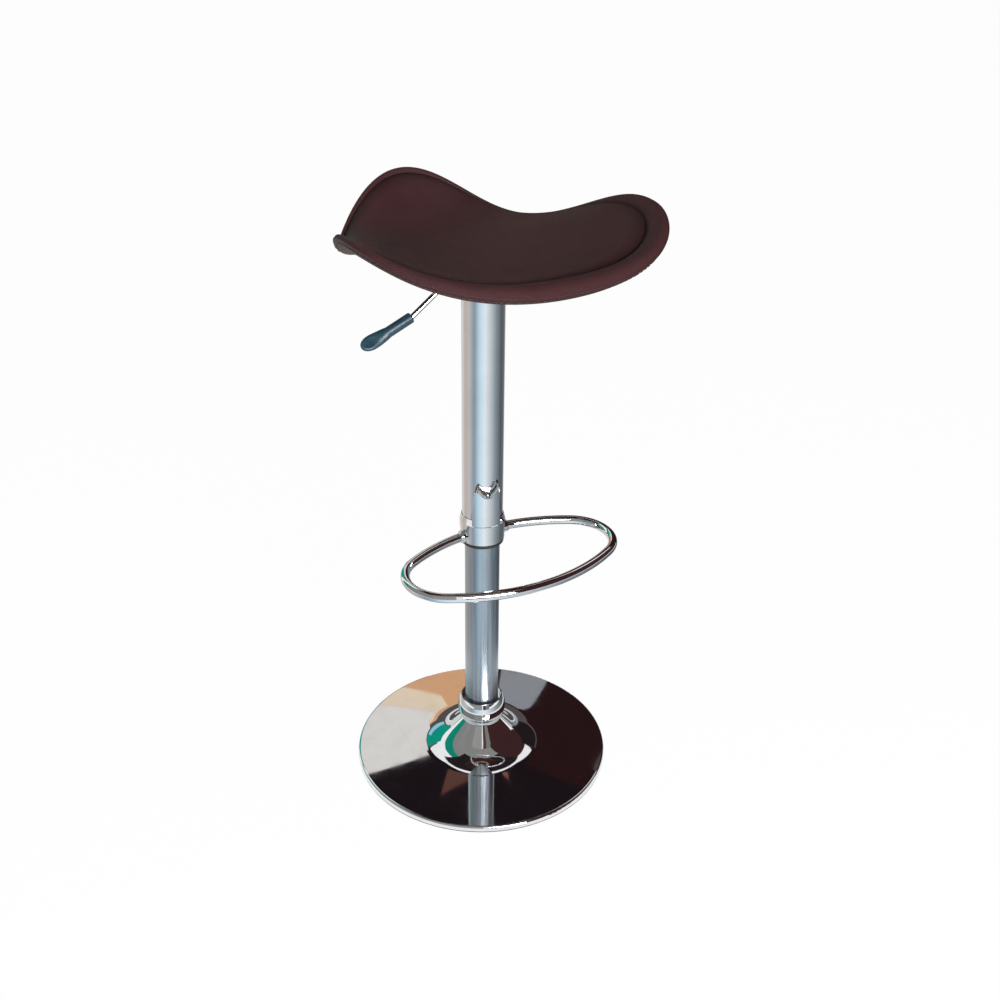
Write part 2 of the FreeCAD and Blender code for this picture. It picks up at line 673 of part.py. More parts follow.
def tongue():
    """Leaf that rises from the collar on the front of the tube, cut to a fish tail."""
    foot = collar_body_top + COLLAR_EDGE_ROUND
    tip = collar_band_top + TONGUE_HORN_RISE + TONGUE_LEAN
    leaf = tube(collar_bore_r, upper_tube_r + TONGUE_THICKNESS, foot, tip)
    lean = TONGUE_LEAN / 2

    def at(u, rise, side):
        return Vector(u * side, 0, collar_band_top + rise + side * lean)

    left_foot = Vector(-TONGUE_FOOT_HALF_WIDTH, 0, foot)
    right_foot = Vector(TONGUE_FOOT_HALF_WIDTH, 0, foot)
    left_shoulder, right_shoulder = (at(TONGUE_TOP_HALF_WIDTH, TONGUE_SHOULDER_RISE, s) for s in (-1, 1))
    left_horn, right_horn = (at(TONGUE_HORN_OFFSET, TONGUE_HORN_RISE, s) for s in (-1, 1))
    notch = Vector(0, 0, collar_band_top + TONGUE_NOTCH_RISE)
    edges = [Part.makeLine(left_foot, left_shoulder), Part.makeLine(left_shoulder, left_horn),
             Part.Arc(left_horn, notch, right_horn).toShape(), Part.makeLine(right_horn, right_shoulder),
             Part.makeLine(right_shoulder, right_foot), Part.makeLine(right_foot, left_foot)]
    outline = Part.Face(Part.Wire(edges)).extrude(Vector(0, -UPPER_TUBE_DIAMETER, 0))
    leaf = leaf.common(outline)
    leaf.rotate(ORIGIN, UP, TONGUE_TURN)
    return leaf


def footrest_collar():
    body = turned_corners([(collar_bore_r, UPPER_TUBE_BOTTOM), (collar_r, UPPER_TUBE_BOTTOM, COLLAR_EDGE_ROUND),
                           (collar_r, collar_body_top), (band_r, collar_body_top, COLLAR_EDGE_ROUND / 2),
                           (band_r, collar_band_top, COLLAR_EDGE_ROUND),
                           (collar_bore_r + COLLAR_EDGE_ROUND, collar_top), (collar_bore_r, collar_top)])
    tube_hole = cylinder(collar_bore_r, UPPER_TUBE_BOTTOM - CUT_PAST, collar_top + CUT_PAST)
    for side in (-1, 1):
        out = Vector(side, 0, 0)
        foot = Vector(0, arm_y(), footrest_z)
        boss = Part.makeCylinder(COLLAR_BOSS_DIAMETER / 2, COLLAR_BOSS_REACH, foot, out)
        rim = [e for e in boss.Edges if abs(e.CenterOfMass.x - side * COLLAR_BOSS_REACH) < 1e-6]
        body = body.fuse(boss.makeFillet(COLLAR_EDGE_ROUND * 2, rim).cut(tube_hole))
    body = body.fuse(tongue()).cut(pipe(loop_path(), FOOTREST_TUBE_DIAMETER / 2 + SEAT_CLEARANCE))
    for hole in screw_cylinders(SCREW_DIAMETER / 2 + SEAT_CLEARANCE, upper_tube_r, band_r):
        body = body.cut(hole)
    return body.removeSplitter()


def screw_cylinders(radius, inner, outer):
    """Two radial cylinders at the collar's back."""
    height = (UPPER_TUBE_BOTTOM + collar_body_top) / 2
    solids = []
    for turn in (-SCREW_SPREAD, SCREW_SPREAD):
        out = Vector(math.sin(math.radians(turn)), math.cos(math.radians(turn)), 0)
        solids.append(Part.makeCylinder(radius, outer - inner, UP * height + out * inner, out))
    return solids


def collar_screws():
    return group(screw_cylinders(SCREW_DIAMETER / 2, upper_tube_r + SEAT_CLEARANCE, collar_r + SOFT_GAP))


# Seat plate and lever
def plate_bolt_places():
    half = PLATE_BOLT_SPACING / 2
    return [(sx * half, sy * half) for sx in (-1, 1) for sy in (-1, 1)]


def seat_plate():
    """Pressed steel tray: a flat flange round a shallow pan, with a slot for the lever."""
    flange = rounded_box(PLATE_WIDTH, PLATE_WIDTH, PLATE_CORNER, plate_bottom, plate_top)
    pan = rounded_box(PAN_WIDTH, PAN_LENGTH, PAN_CORNER, pan_bottom, plate_top)
    hollow = rounded_box(PAN_WIDTH - 2 * PLATE_SHEET, PAN_LENGTH - 2 * PLATE_SHEET, PAN_CORNER - PLATE_SHEET,
                         pan_floor, plate_top + CUT_PAST)
    plate = flange.fuse(pan).cut(hollow)
    plate = plate.cut(cylinder(SOCKET_DIAMETER / 2, pan_bottom - CUT_PAST, pan_floor + CUT_PAST))
    slot_half = LEVER_DIAMETER / 2 + LEVER_SLOT_ROOM
    plate = plate.cut(box(-PAN_WIDTH, -PAN_WIDTH / 2 + 2 * PLATE_SHEET, -slot_half, slot_half,
                          lever_z - slot_half - LEVER_SLOT_ROOM, plate_bottom))
    for x, y in plate_bolt_places():
        hole_r = PLATE_BOLT_DIAMETER / 2 + PLATE_BOLT_ROOM
        plate = plate.cut(cylinder(hole_r, plate_bottom - CUT_PAST, plate_top + CUT_PAST, x, y))
    return plate.removeSplitter()


def taper_socket():
    """Welded socket that the gas spring's taper is pressed into."""
    bottom, top = taper_bottom, cylinder_top - PLATE_SHEET / 2
    outer = SOCKET_DIAMETER / 2
    narrowing = (cylinder_r - TAPER_TOP_DIAMETER / 2) * (top - bottom) / TAPER_LENGTH
    low = cylinder_r + SEAT_CLEARANCE
    return turned_corners([(low, bottom), (outer, bottom, EDGE_BREAK), (outer, top), (low - narrowing, top)])


def lever_bracket():
    half = LEVER_EYE_WIDTH / 2 + EAR_GAP
    x0, x1 = -LEVER_PIVOT_OFFSET - EAR_LENGTH / 2, -LEVER_PIVOT_OFFSET + EAR_LENGTH / 2
    ear_top = lever_z + LEVER_EYE_DIAMETER / 2 - EAR_GAP
    base = box(x0, x1, -half - EAR_SHEET, half + EAR_SHEET, pan_floor, pan_floor + EAR_SHEET)
    ears = [box(x0, x1, y, y + EAR_SHEET, pan_floor, ear_top) for y in (-half - EAR_SHEET, half)]
    bracket = base.fuse(ears)
    hole = lever_axis_cylinder(LEVER_PIN_DIAMETER / 2 + SEAT_CLEARANCE, half + EAR_SHEET + CUT_PAST)
    return bracket.cut(hole).removeSplitter()


def lever_axis_cylinder(radius, half_length):
    """Cylinder along the lever's pivot."""
    start = Vector(-LEVER_PIVOT_OFFSET, -half_length, lever_z)
    return Part.makeCylinder(radius, 2 * half_length, start, Vector(0, 1, 0))


def lever_pin():
    return lever_axis_cylinder(LEVER_PIN_DIAMETER / 2, LEVER_EYE_WIDTH / 2 + EAR_GAP + EAR_SHEET + PIN_TAIL)


def sloped(angle, length):
    """Step outward and down at an angle below level."""
    return -length * math.cos(math.radians(angle)), -length * math.sin(math.radians(angle))


def lever_corners():
    """Corners of the lever's rod in the XZ plane, from over the valve to inside the handle."""
    bend = (-LEVER_STRAIGHT, lever_z)
    dx, dz = sloped(LEVER_SLOPE, LEVER_LEG)
    knee = (bend[0] + dx, bend[1] + dz)
    dx, dz = sloped(HANDLE_SLOPE, LEVER_TAIL)
    end = (knee[0] + dx, knee[1] + dz)
    return [(LEVER_TIP, lever_z), (*bend, LEVER_LEG_BEND), (*knee, LEVER_TAIL_BEND), end]


def lever_rod():
    rod = pipe(Part.Wire(rounded_path(lever_corners())), LEVER_DIAMETER / 2)
    eye = lever_axis_cylinder(LEVER_EYE_DIAMETER / 2, LEVER_EYE_WIDTH / 2)
    bore = lever_axis_cylinder(LEVER_PIN_DIAMETER / 2 + RUN_CLEARANCE, LEVER_EYE_WIDTH)
    return rod.fuse(eye).cut(bore).removeSplitter()


def ellipse_wire(along, lift, half_width, half_thickness):
    """Section of the handle's paddle across its length."""
    major = Vector(along, half_width, lift)
    minor = Vector(along, 0, lift + half_thickness)
    return Part.Wire(Part.Ellipse(major, minor, Vector(along, 0, lift)).toShape())


def lever_handle():
    """Moulded handle: a round socket that flattens to a dished finger paddle."""
    socket_r = HANDLE_SOCKET_DIAMETER / 2
    half_w, half_t = HANDLE_WIDTH / 2, HANDLE_THICKNESS / 2
    paddle_run = HANDLE_LENGTH - HANDLE_SOCKET_LENGTH
    sections = [ellipse_wire(HANDLE_SOCKET_LENGTH + share * paddle_run, lift * HANDLE_UPTURN, half_w * wide,
                             half_t * thick) for share, lift, wide, thick in HANDLE_STATIONS]
    socket = Part.makeCylinder(socket_r, HANDLE_SOCKET_LENGTH + CUT_PAST, ORIGIN, Vector(1, 0, 0))
    mouth = [e for e in socket.Edges if abs(e.CenterOfMass.x) < SEAT_CLEARANCE]
    socket = socket.makeFillet(EDGE_BREAK, mouth)
    handle = socket.fuse(Part.makeLoft(sections, True, False))
    dish_x = HANDLE_SOCKET_LENGTH + HANDLE_DISH_PLACE * paddle_run
    dish_z = half_t + HANDLE_UPTURN / 2 + HANDLE_DISH_RADIUS - HANDLE_DISH_DEPTH
    handle = handle.cut(Part.makeSphere(HANDLE_DISH_RADIUS, Vector(dish_x, 0, dish_z)))
    return placed_handle(handle)


def placed_handle(handle):
    """Turn the handle about its length, slope it and push it over the rod's end."""
    handle = handle.copy()
    handle.rotate(ORIGIN, Vector(1, 0, 0), HANDLE_ROLL)
    handle.rotate(ORIGIN, UP, 180)
    handle.rotate(ORIGIN, Vector(0, 1, 0), -HANDLE_SLOPE)
    knee = lever_corners()[2]
    handle.translate(Vector(knee[0], 0, knee[1]))
    rod = pipe(Part.Wire(rounded_path(lever_corners())), LEVER_DIAMETER / 2 + SEAT_CLEARANCE)
    return handle.cut(rod).removeSplitter()


def plate_bolts():
    head_top = plate_bottom - PLATE_WASHER_THICKNESS
    solids = []
    for x, y in plate_bolt_places():
        head = hexagon(PLATE_BOLT_HEAD, head_top - PLATE_BOLT_HEAD_HEIGHT, head_top, x, y)
        shank = cylinder(PLATE_BOLT_DIAMETER / 2, head_top - CUT_PAST, plate_top + TEE_NUT_LENGTH, x, y)
        solids.append(head.fuse(shank).removeSplitter())
    return group(solids)


def plate_washers():
    bore, low = PLATE_BOLT_DIAMETER / 2 + SEAT_CLEARANCE, plate_bottom - PLATE_WASHER_THICKNESS
    return group([tube(bore, PLATE_WASHER_DIAMETER / 2, low, plate_bottom, x, y)
                  for x, y in plate_bolt_places()])


def tee_nuts():
    bore = PLATE_BOLT_DIAMETER / 2 + SEAT_CLEARANCE
    flange_z = plate_top + TEE_NUT_LENGTH
    top = flange_z + TEE_NUT_FLANGE_THICKNESS
    solids = []
    for x, y in plate_bolt_places():
        nut = cylinder(TEE_NUT_BARREL / 2, plate_top + SEAT_CLEARANCE, top, x, y)
        nut = nut.fuse(cylinder(TEE_NUT_FLANGE / 2, flange_z, top, x, y))
        solids.append(nut.cut(cylinder(bore, plate_top, top + CUT_PAST, x, y)).removeSplitter())
    return group(solids)


# Seat
def outline_reach(angle):
    """Reach of the seat's edge by angle from the front: the cosine series through the five named reaches."""
    reaches = (front_reach, WING_REACH, side_reach, shoulder_reach, back_reach)
    last = len(reaches) - 1

    def share(k):
        return 0.5 if k in (0, last) else 1.0

    total = 0.0
    for k in range(last + 1):
        wave = sum(share(j) * reach * math.cos(k * j * math.pi / last) for j, reach in enumerate(reaches))
        total += 2 / last * share(k) * wave * math.cos(k * angle)
    return total


def outline_point(angle, inset):
    reach = outline_reach(angle) - inset
    return Vector(-reach * math.sin(angle), -reach * math.cos(angle), 0)


def outline_tangent(angle, inset):
    return (outline_point(angle + TANGENT_STEP, inset) - outline_point(angle - TANGENT_STEP, inset)).normalize()


def tangent_arc(start, along, finish):
    """Arc that leaves its start along a direction."""
    chord = finish - start
    side = Vector(-along.y, along.x, 0)
    radius = chord.dot(chord) / (2 * side.dot(chord))
    centre = start + side * radius
    middle = centre + ((start + finish) * 0.5 - centre).normalize() * abs(radius)
    return Part.Arc(start, middle, finish).toShape()


def biarc(start, leaving, finish, arriving):
    """Two arcs that join two points and are tangent to a direction at each."""
    chord = finish - start
    spread = 2 * (1 - leaving.dot(arriving))
    reach = chord.dot(leaving + arriving)
    leg = (math.sqrt(reach ** 2 + spread * chord.dot(chord)) - reach) / spread
    join = (start + finish + (leaving - arriving) * leg) * 0.5
    return [tangent_arc(start, leaving, join), tangent_arc(finish, arriving * -1, join)]


def outline_prism(inset):
    """Upright prism of the seat's outline, drawn in by an inset and made of tangent arcs."""
    angles = [2 * math.pi * i / OUTLINE_SPANS for i in range(OUTLINE_SPANS + 1)]
    edges = []
    for a, b in zip(angles, angles[1:]):
        edges += biarc(outline_point(a, inset), outline_tangent(a, inset),
                       outline_point(b, inset), outline_tangent(b, inset))
    prism = Part.Face(Part.Wire(Part.__sortEdges__(edges)))
    prism.translate(UP * (shell_top - SEAT_HEIGHT / 4))
    return prism.extrude(UP * (SEAT_HEIGHT / 2))


def middle_height(y):
    """Height of the shell's top on its middle line."""
    if y < 0:
        return shell_top + FRONT_CLIMB * (y / front_reach) ** 2
    return shell_top + BACK_CLIMB * (y / back_reach) ** BACK_CURVE


def side_climb(y):
    """Climb of the shell from its middle line to its sides."""
    mean, swing = (WING_CLIMB - BACK_SIDE_FALL) / 2, (WING_CLIMB + BACK_SIDE_FALL) / 2
    fade = FRONT_FADE if y < WING_STATION else BACK_FADE
    return mean + swing * math.cos(math.pi * (y - WING_STATION) / fade)


def half_width():
    """Half the seat's width, at the widest point of its edge."""
    return max(-outline_point(math.pi * i / OUTLINE_SPANS, 0).x for i in range(OUTLINE_SPANS + 1))


def slab(low, high, crown=0.0):
    """Saddle-shaped slab between two heights above the shell's top, with an extra crown along its middle."""
    half = half_width() + SLAB_MARGIN
    start, finish = -front_reach - SLAB_MARGIN, back_reach + SLAB_MARGIN
    wires = []
    for i in range(SLAB_STATIONS):
        y = start + (finish - start) * i / (SLAB_STATIONS - 1)
        middle = middle_height(y)
        side = middle + side_climb(y) * (half / SIDE_HALF_WIDTH) ** 2
        bulge = crown * max(0.0, 1 - (y / finish) ** 2)
        lower = [Vector(-half, y, side + low), Vector(0, y, middle + low), Vector(half, y, side + low)]
        upper = [Vector(half, y, side + high), Vector(0, y, middle + high + bulge),
                 Vector(-half, y, side + high)]
        wires.append(Part.Wire([Part.Arc(*lower).toShape(), Part.makeLine(lower[2], upper[0]),
                                Part.Arc(*upper).toShape(), Part.makeLine(upper[2], lower[0])]))
    return Part.makeLoft(wires, True, False)


def facing(solid, upward):
    """The largest face of a seat layer that looks up, or down."""
    def rise(face):
        u0, u1, v0, v1 = face.ParameterRange
        return face.normalAt((u0 + u1) / 2, (v0 + v1) / 2).z
    faces = [f for f in solid.Faces if (rise(f) > 0.5 if upward else rise(f) < -0.5)]
    return max(faces, key=lambda f: f.Area)


def one_solid(shape):
    return max(shape.Solids, key=lambda s: s.Volume)


def rounded_edges(solid, radius, edges):
    """Round edges that an earlier rounding may have renumbered, found again by their middles."""
    def middle(edge):
        return edge.valueAt((edge.FirstParameter + edge.LastParameter) / 2)
    wanted = [middle(e) for e in edges]
    found = [e for e in solid.Edges if any((middle(e) - m).Length < SEAT_CLEARANCE for m in wanted)]
    return solid.makeFillet(radius, found)


def seat_pad():
    """Padded top panel, crowned in the middle and drawn in along its seam."""
    pad = slab(SOFT_GAP, PAD_EDGE, PAD_CROWN - PAD_EDGE)
    panel = one_solid(pad.common(outline_prism(BORDER_WIDTH + SOFT_GAP)))
    return rounded_edges(panel, PAD_ROUND, facing(panel, True).OuterWire.Edges)


def seat_border():
    """Padded band round the top panel, rolled over the shell's edge."""
    fence = outline_prism(0).cut(outline_prism(BORDER_WIDTH))
    band = slab(-SHELL_THICKNESS, BORDER_THICKNESS).common(fence)
    shell_space = slab(-2 * SHELL_THICKNESS, SOFT_GAP).common(outline_prism(SHELL_INSET - SOFT_GAP))
    band = one_solid(band.cut(shell_space))
    outer, inner = sorted(facing(band, True).Wires, key=lambda w: -w.Length)
    band = rounded_edges(band, EDGE_ROUND, outer.Edges)
    return rounded_edges(band, SEAM_ROUND, inner.Edges)


def seat_shell():
    """Moulded plywood shell with a flat boss for the seat plate."""
    shell = slab(-SHELL_THICKNESS, 0).common(outline_prism(SHELL_INSET))
    boss = cylinder(SHELL_BOSS_DIAMETER / 2, plate_top, shell_top + WING_CLIMB)
    shell = shell.fuse(boss.cut(slab(-SHELL_THICKNESS / 2, WING_CLIMB * 3)))
    for x, y in plate_bolt_places():
        flange_z = plate_top + TEE_NUT_LENGTH
        barrel = cylinder(TEE_NUT_BARREL / 2 + SEAT_CLEARANCE, plate_top - CUT_PAST, flange_z + CUT_PAST, x, y)
        shell = shell.cut(barrel)
        shell = shell.cut(cylinder(TEE_NUT_FLANGE / 2 + SEAT_CLEARANCE, flange_z, flange_z + WING_CLIMB, x, y))
    return one_solid(shell)


def under_cover():
    """Leatherette panel under the shell, cut out round the seat plate."""
    skin = slab(-SHELL_THICKNESS - SOFT_GAP - COVER_SKIN, -SHELL_THICKNESS - SOFT_GAP)
    skin = skin.common(outline_prism(SOFT_GAP))
    return one_solid(skin.cut(cylinder(COVER_CUTOUT / 2, 0, 2 * SEAT_HEIGHT)))


PIECES = (floor_ring, base_cover, base_weight, tube_flange, base_bolts, base_nuts, neck_ring, lower_tube,
          guide_bush, bearing_lower_race, piston_rod, piston, piston_seal, bearing_upper_race, rod_washer,
          rod_clip, bearing_cage, bearing_balls, gas_cylinder, cylinder_gland, upper_tube, tube_cap, tube_bush,
          footrest_collar, collar_screws, footrest_ring, seat_plate, taper_socket, lever_bracket, lever_pin,
          plate_bolts, plate_washers, tee_nuts, seat_shell, seat_pad, seat_border, under_cover, lever_rod,
          lever_handle, release_pin)

os.makedirs("parts", exist_ok=True)
for piece in PIECES:
    shape = piece()
    if not shape.isValid():
        raise ValueError(piece.__name__ + " is not a valid shape")
    shape.exportStep("parts/" + piece.__name__ + ".step")
    print(piece.__name__, len(shape.Solids), round(shape.Volume))
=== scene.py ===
"""Looks of the saddle bar stool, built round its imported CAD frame.

Laid out as an add-on: sizes and colours are properties, each piece or group of like pieces has an
operator, and a panel lists the operators.
"""
import math
from functools import cache

import bmesh
import bpy
from bpy.props import FloatProperty, FloatVectorProperty, IntProperty, PointerProperty
from mathutils import Matrix, Vector


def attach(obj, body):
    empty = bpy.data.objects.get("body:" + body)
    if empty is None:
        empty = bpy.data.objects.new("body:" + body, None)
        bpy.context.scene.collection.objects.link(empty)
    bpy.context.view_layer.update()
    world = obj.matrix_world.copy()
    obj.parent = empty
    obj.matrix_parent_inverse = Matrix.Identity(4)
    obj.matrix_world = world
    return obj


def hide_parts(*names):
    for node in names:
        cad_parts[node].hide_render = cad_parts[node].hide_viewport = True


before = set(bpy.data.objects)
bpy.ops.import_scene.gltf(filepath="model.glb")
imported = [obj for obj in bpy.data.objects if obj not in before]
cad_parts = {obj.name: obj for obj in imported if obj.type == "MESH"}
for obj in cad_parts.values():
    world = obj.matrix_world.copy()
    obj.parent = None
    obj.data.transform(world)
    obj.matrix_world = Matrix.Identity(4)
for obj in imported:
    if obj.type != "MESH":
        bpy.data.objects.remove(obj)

bl_info = {
    "name": "Saddle bar stool",
    "version": (1, 0, 0),
    "blender": (4, 5, 0),
    "location": "View3D > Sidebar > Stool",
    "description": "Upholstery, metal finishes and studio of a saddle bar stool",
    "category": "Object",
}


def length(name, default, description):
    """Property for a size in metres."""
    return FloatProperty(name=name, default=default, description=description, unit="LENGTH", precision=4)


def lengths(name, default, description):
    """Property for a row of sizes in metres."""
    return FloatVectorProperty(name=name, default=default, description=description, size=len(default),
                               unit="LENGTH", precision=4)


def plain(name, default, description):
    """Property for a bare number."""
    return FloatProperty(name=name, default=default, description=description)


def turn(name, default, description):
    """Property for an angle, with its default in degrees."""
    return FloatProperty(name=name, default=math.radians(default), description=description, subtype="ANGLE")


def colour(name, default, description):
    """Property for a colour."""
    return FloatVectorProperty(name=name, default=default, description=description, subtype="COLOR", size=3,
                               min=0.0, max=1.0)


# Sizes and colours
class SeatSizes(bpy.types.PropertyGroup):
    """Outline, saddle and upholstery of the seat."""
    front_reach: length("Front reach", 0.206, "From the column's axis to the front edge")
    wing_reach: length("Wing reach", 0.229, "From the axis to the edge of a wing")
    side_reach: length("Side reach", 0.2005, "From the axis to the side edge")
    shoulder_reach: length("Shoulder reach", 0.198, "From the axis to the edge beside the back lobe")
    back_reach: length("Back reach", 0.241, "From the axis to the back edge")
    shell_top: length("Shell top", 0.7807, "Height of the shell's top on the axis")
    front_climb: length("Front climb", 0.0235, "Climb of the middle line to the front edge")
    back_climb: length("Back climb", 0.0695, "Climb of the middle line to the back edge")
    back_curve: plain("Back curve", 3.5, "How late the back lobe turns up")
    half_width: length("Half width", 0.207, "Half width at which the side climbs are measured")
    section_half: length("Section half", 0.221, "Half width of the arcs that the saddle's sections follow")
    crown_finish: length("Crown finish", 0.2525, "Where the top panel's crown runs out, along the middle line")
    wing_climb: length("Wing climb", 0.071, "Climb of the sides at the wings")
    back_fall: length("Back fall", 0.1185, "Fall of the sides beside the back lobe")
    wing_station: length("Wing station", -0.0355, "Where the sides climb most, along the middle line")
    front_fade: length("Front fade", 0.7, "Run in which the side climb fades to the front")
    back_fade: length("Back fade", 0.413, "Run in which the side climb fades to the back")
    border_width: length("Border width", 0.03, "Width of the border's plain section")
    border_top: length("Border top", 0.0078, "Height of the border's plain section over the shell")
    border_widths: lengths("Border widths", (0.048, 0.034, 0.015, 0.0085, 0.008),
                           "Width of the border at the front, wing, side, shoulder and back")
    border_tops: lengths("Border tops", (0.015, 0.0095, 0.0064, 0.006, 0.0056),
                         "Height of the border at the front, wing, side, shoulder and back")
    border_foot: length("Border foot", 0.001, "Lift under which the border's width stays plain")
    border_lip: length("Border lip", 0.002, "Lift under which the border's height stays plain")
    seam_lap: length("Seam lap", 0.002, "How far the top panel tucks under the border")
    pad_edge: length("Pad edge", 0.0072, "Height of the top panel beside its seam")
    pad_crown: length("Pad crown", 0.015, "Height of the top panel in the middle")
    seam_roll: length("Seam roll", 0.024, "How far in from its seam the top panel starts to roll down")
    seam_floor: length("Seam floor", 0.0016, "Height of the seam over the shell")
    rim_drop: length("Rim drop", 0.0092, "How far the border's wrap reaches below the shell's top")
    wrap_width: length("Wrap width", 0.026, "How far the border wraps in under the shell")
    under_skin: length("Under skin", 0.0053, "Depth of the under cover's inner face")
    cutout: length("Cut-out", 0.095, "Radius of the opening in the under cover")
    stitch_pitch: length("Stitch pitch", 0.0075, "Distance from stitch to stitch")
    stitch_length: length("Stitch length", 0.0050, "Length of the thread that shows")
    stitch_radius: length("Stitch radius", 0.00065, "Half the thread's thickness")
    welt_radius: length("Welt radius", 0.0013, "Half the thickness of the welt along the rim")
    steps: IntProperty(name="Steps", default=288, min=48, description="Divisions round the seat's edge")


class FinishColours(bpy.types.PropertyGroup):
    """Base colours of the finishes."""
    leatherette: colour("Leatherette", (0.046, 0.0155, 0.0170), "Cover of the seat")
    leatherette_worn: colour("Leatherette worn", (0.060, 0.0225, 0.0240), "Paler cover where it is rubbed")
    thread: colour("Thread", (0.012, 0.007, 0.008), "Stitching")
    chrome: colour("Chrome", (0.80, 0.81, 0.83), "Plated pieces")
    satin_steel: colour("Satin steel", (0.40, 0.45, 0.50), "Lower tube")
    handle: colour("Handle", (0.010, 0.030, 0.045), "Lever's handle")
    black: colour("Black", (0.012, 0.012, 0.013), "Rubber, bushes and powder coat")


class StageSettings(bpy.types.PropertyGroup):
    """Camera and light."""
    camera_distance: length("Camera distance", 1.5, "Level distance from the column's axis")
    camera_height: length("Camera height", 1.2554, "Height over the floor")
    camera_turn: turn("Camera turn", -28.77, "Way round from the stool's front")
    camera_pitch: turn("Camera pitch", 28.5358, "Tilt below level")
    camera_yaw: turn("Camera yaw", 0.9409, "Turn of the view away from the axis")
    camera_roll: turn("Camera roll", 0.7004, "Lean of the view")
    camera_lens: plain("Camera lens", 43.76, "Focal length in millimetres")
    room_light: plain("Room light", 0.38, "Strength of the even light from all round")
    key_power: plain("Key power", 105.0, "Watts of the large lamp")
    fill_power: plain("Fill power", 7.0, "Watts of the lamp on the left")
    bounce_power: plain("Bounce power", 5.0, "Watts of the warm light from the floor on the left")


def sizes():
    """Sizes of the seat."""
    return bpy.context.scene.stool_seat


def colours():
    """Colours of the finishes."""
    return bpy.context.scene.stool_colours


# Shader maths
class Value:
    """A node's output that can be used in arithmetic."""

    def __init__(self, nodes, socket):
        self.nodes = nodes
        self.socket = socket

    def _math(self, operation, first, second):
        return self.nodes.node("ShaderNodeMath", {"operation": operation}, {0: first, 1: second})

    def __add__(self, other):
        return self._math("ADD", self, other)

    def __radd__(self, other):
        return self._math("ADD", other, self)

    def __rsub__(self, other):
        return self._math("SUBTRACT", other, self)

    def __mul__(self, other):
        return self._math("MULTIPLY", self, other)


class Nodes:
    """An emptied node tree and short ways to add to it."""

    def __init__(self, tree):
        self.tree = tree
        tree.nodes.clear()

    def node(self, kind, settings=None, inputs=None, output=0):
        made = self.tree.nodes.new(kind)
        for key, value in (settings or {}).items():
            setattr(made, key, value)
        for key, value in (inputs or {}).items():
            if isinstance(value, Value):
                self.tree.links.new(value.socket, made.inputs[key])
            else:
                made.inputs[key].default_value = value
        return Value(self, made.outputs[output])

    def place(self, scale=(1.0, 1.0, 1.0)):
        spot = self.node("ShaderNodeTexCoord", output="Object")
        return self.node("ShaderNodeMapping", {}, {"Vector": spot, "Scale": scale})

    def noise(self, where, scale, detail=3.0, rough=0.5):
        return self.node("ShaderNodeTexNoise", {},
                         {"Vector": where, "Scale": scale, "Detail": detail, "Roughness": rough})

    def cells(self, where, scale):
        return self.node("ShaderNodeTexVoronoi", {"feature": "DISTANCE_TO_EDGE"},
                         {"Vector": where, "Scale": scale})

    def spread(self, value, low, high, out_low=0.0, out_high=1.0):
        return self.node("ShaderNodeMapRange", {"clamp": True},
                         {0: value, 1: low, 2: high, 3: out_low, 4: out_high})

    def blend(self, amount, first, second):
        pair = {0: amount, 6: self._shade(first), 7: self._shade(second)}
        return self.node("ShaderNodeMix", {"data_type": "RGBA"}, pair, output=2)

    def _shade(self, value):
        return value if isinstance(value, Value) else (*value, 1.0)

    def bump(self, height, strength, distance):
        return self.node("ShaderNodeBump", {}, {"Height": height, "Strength": strength, "Distance": distance})


class Finish(Nodes):
    """A material and the nodes that make it."""

    def __init__(self, name):
        self.material = bpy.data.materials.new(name)
        self.material.use_nodes = True
        super().__init__(self.material.node_tree)

    def surface(self, **inputs):
        words = {key.replace("_", " "): value for key, value in inputs.items()}
        shader = self.node("ShaderNodeBsdfPrincipled", {}, words)
        return self.end(shader)

    def end(self, shader):
        out = self.tree.nodes.new("ShaderNodeOutputMaterial")
        self.tree.links.new(shader.socket, out.inputs["Surface"])
        return self.material


@cache
def leatherette_finish():
    """Pressed-grain upholstery with small pores, faint mottling and rubbed high spots, darkened by painted shade
    towards the seams.
    """
    f = Finish("leatherette")
    where = f.place()
    pores = f.cells(where, 820.0)
    folds = f.noise(where, scale=330.0, detail=4.0, rough=0.6)
    mottle = f.noise(where, scale=16.0, detail=3.0, rough=0.55)
    cloud = f.noise(where, scale=5.0, detail=2.0, rough=0.5)
    grain = f.spread(pores, 0.0, 0.16) * 0.75 + folds * 0.25
    tone = f.blend(f.spread(mottle * 0.6 + cloud * 0.4, 0.36, 0.66), colours().leatherette,
                   colours().leatherette_worn)
    deep = tuple(c * 0.62 for c in colours().leatherette)
    # Painted shade: the seam weight darkens the cover next to the seams, where the crease would lie in shadow
    seam = f.node("ShaderNodeAttribute", {"attribute_name": "seam"}, output="Fac")
    skin = f.blend(f.spread(pores, 0.0, 0.10), deep, tone)
    skin = f.blend(seam * 0.85, skin, tuple(c * 0.22 for c in colours().leatherette))
    rough = f.spread(mottle, 0.3, 0.7, 0.44, 0.55) + (1 - grain) * 0.08
    relief = f.bump(grain, strength=0.35, distance=0.0006)
    return f.surface(Base_Color=skin, Roughness=rough, Normal=relief, Specular_IOR_Level=0.16)


def thread_finish():
    """Twisted sewing thread."""
    f = Finish("stitch_thread")
    where = f.place()
    twist = f.noise(where, scale=2600.0, detail=2.0, rough=0.6)
    shade = f.blend(twist, colours().thread, tuple(c * 2.4 for c in colours().thread))
    return f.surface(Base_Color=shade, Roughness=f.spread(twist, 0.3, 0.7, 0.5, 0.75),
                     Normal=f.bump(twist, strength=0.5, distance=0.0002))


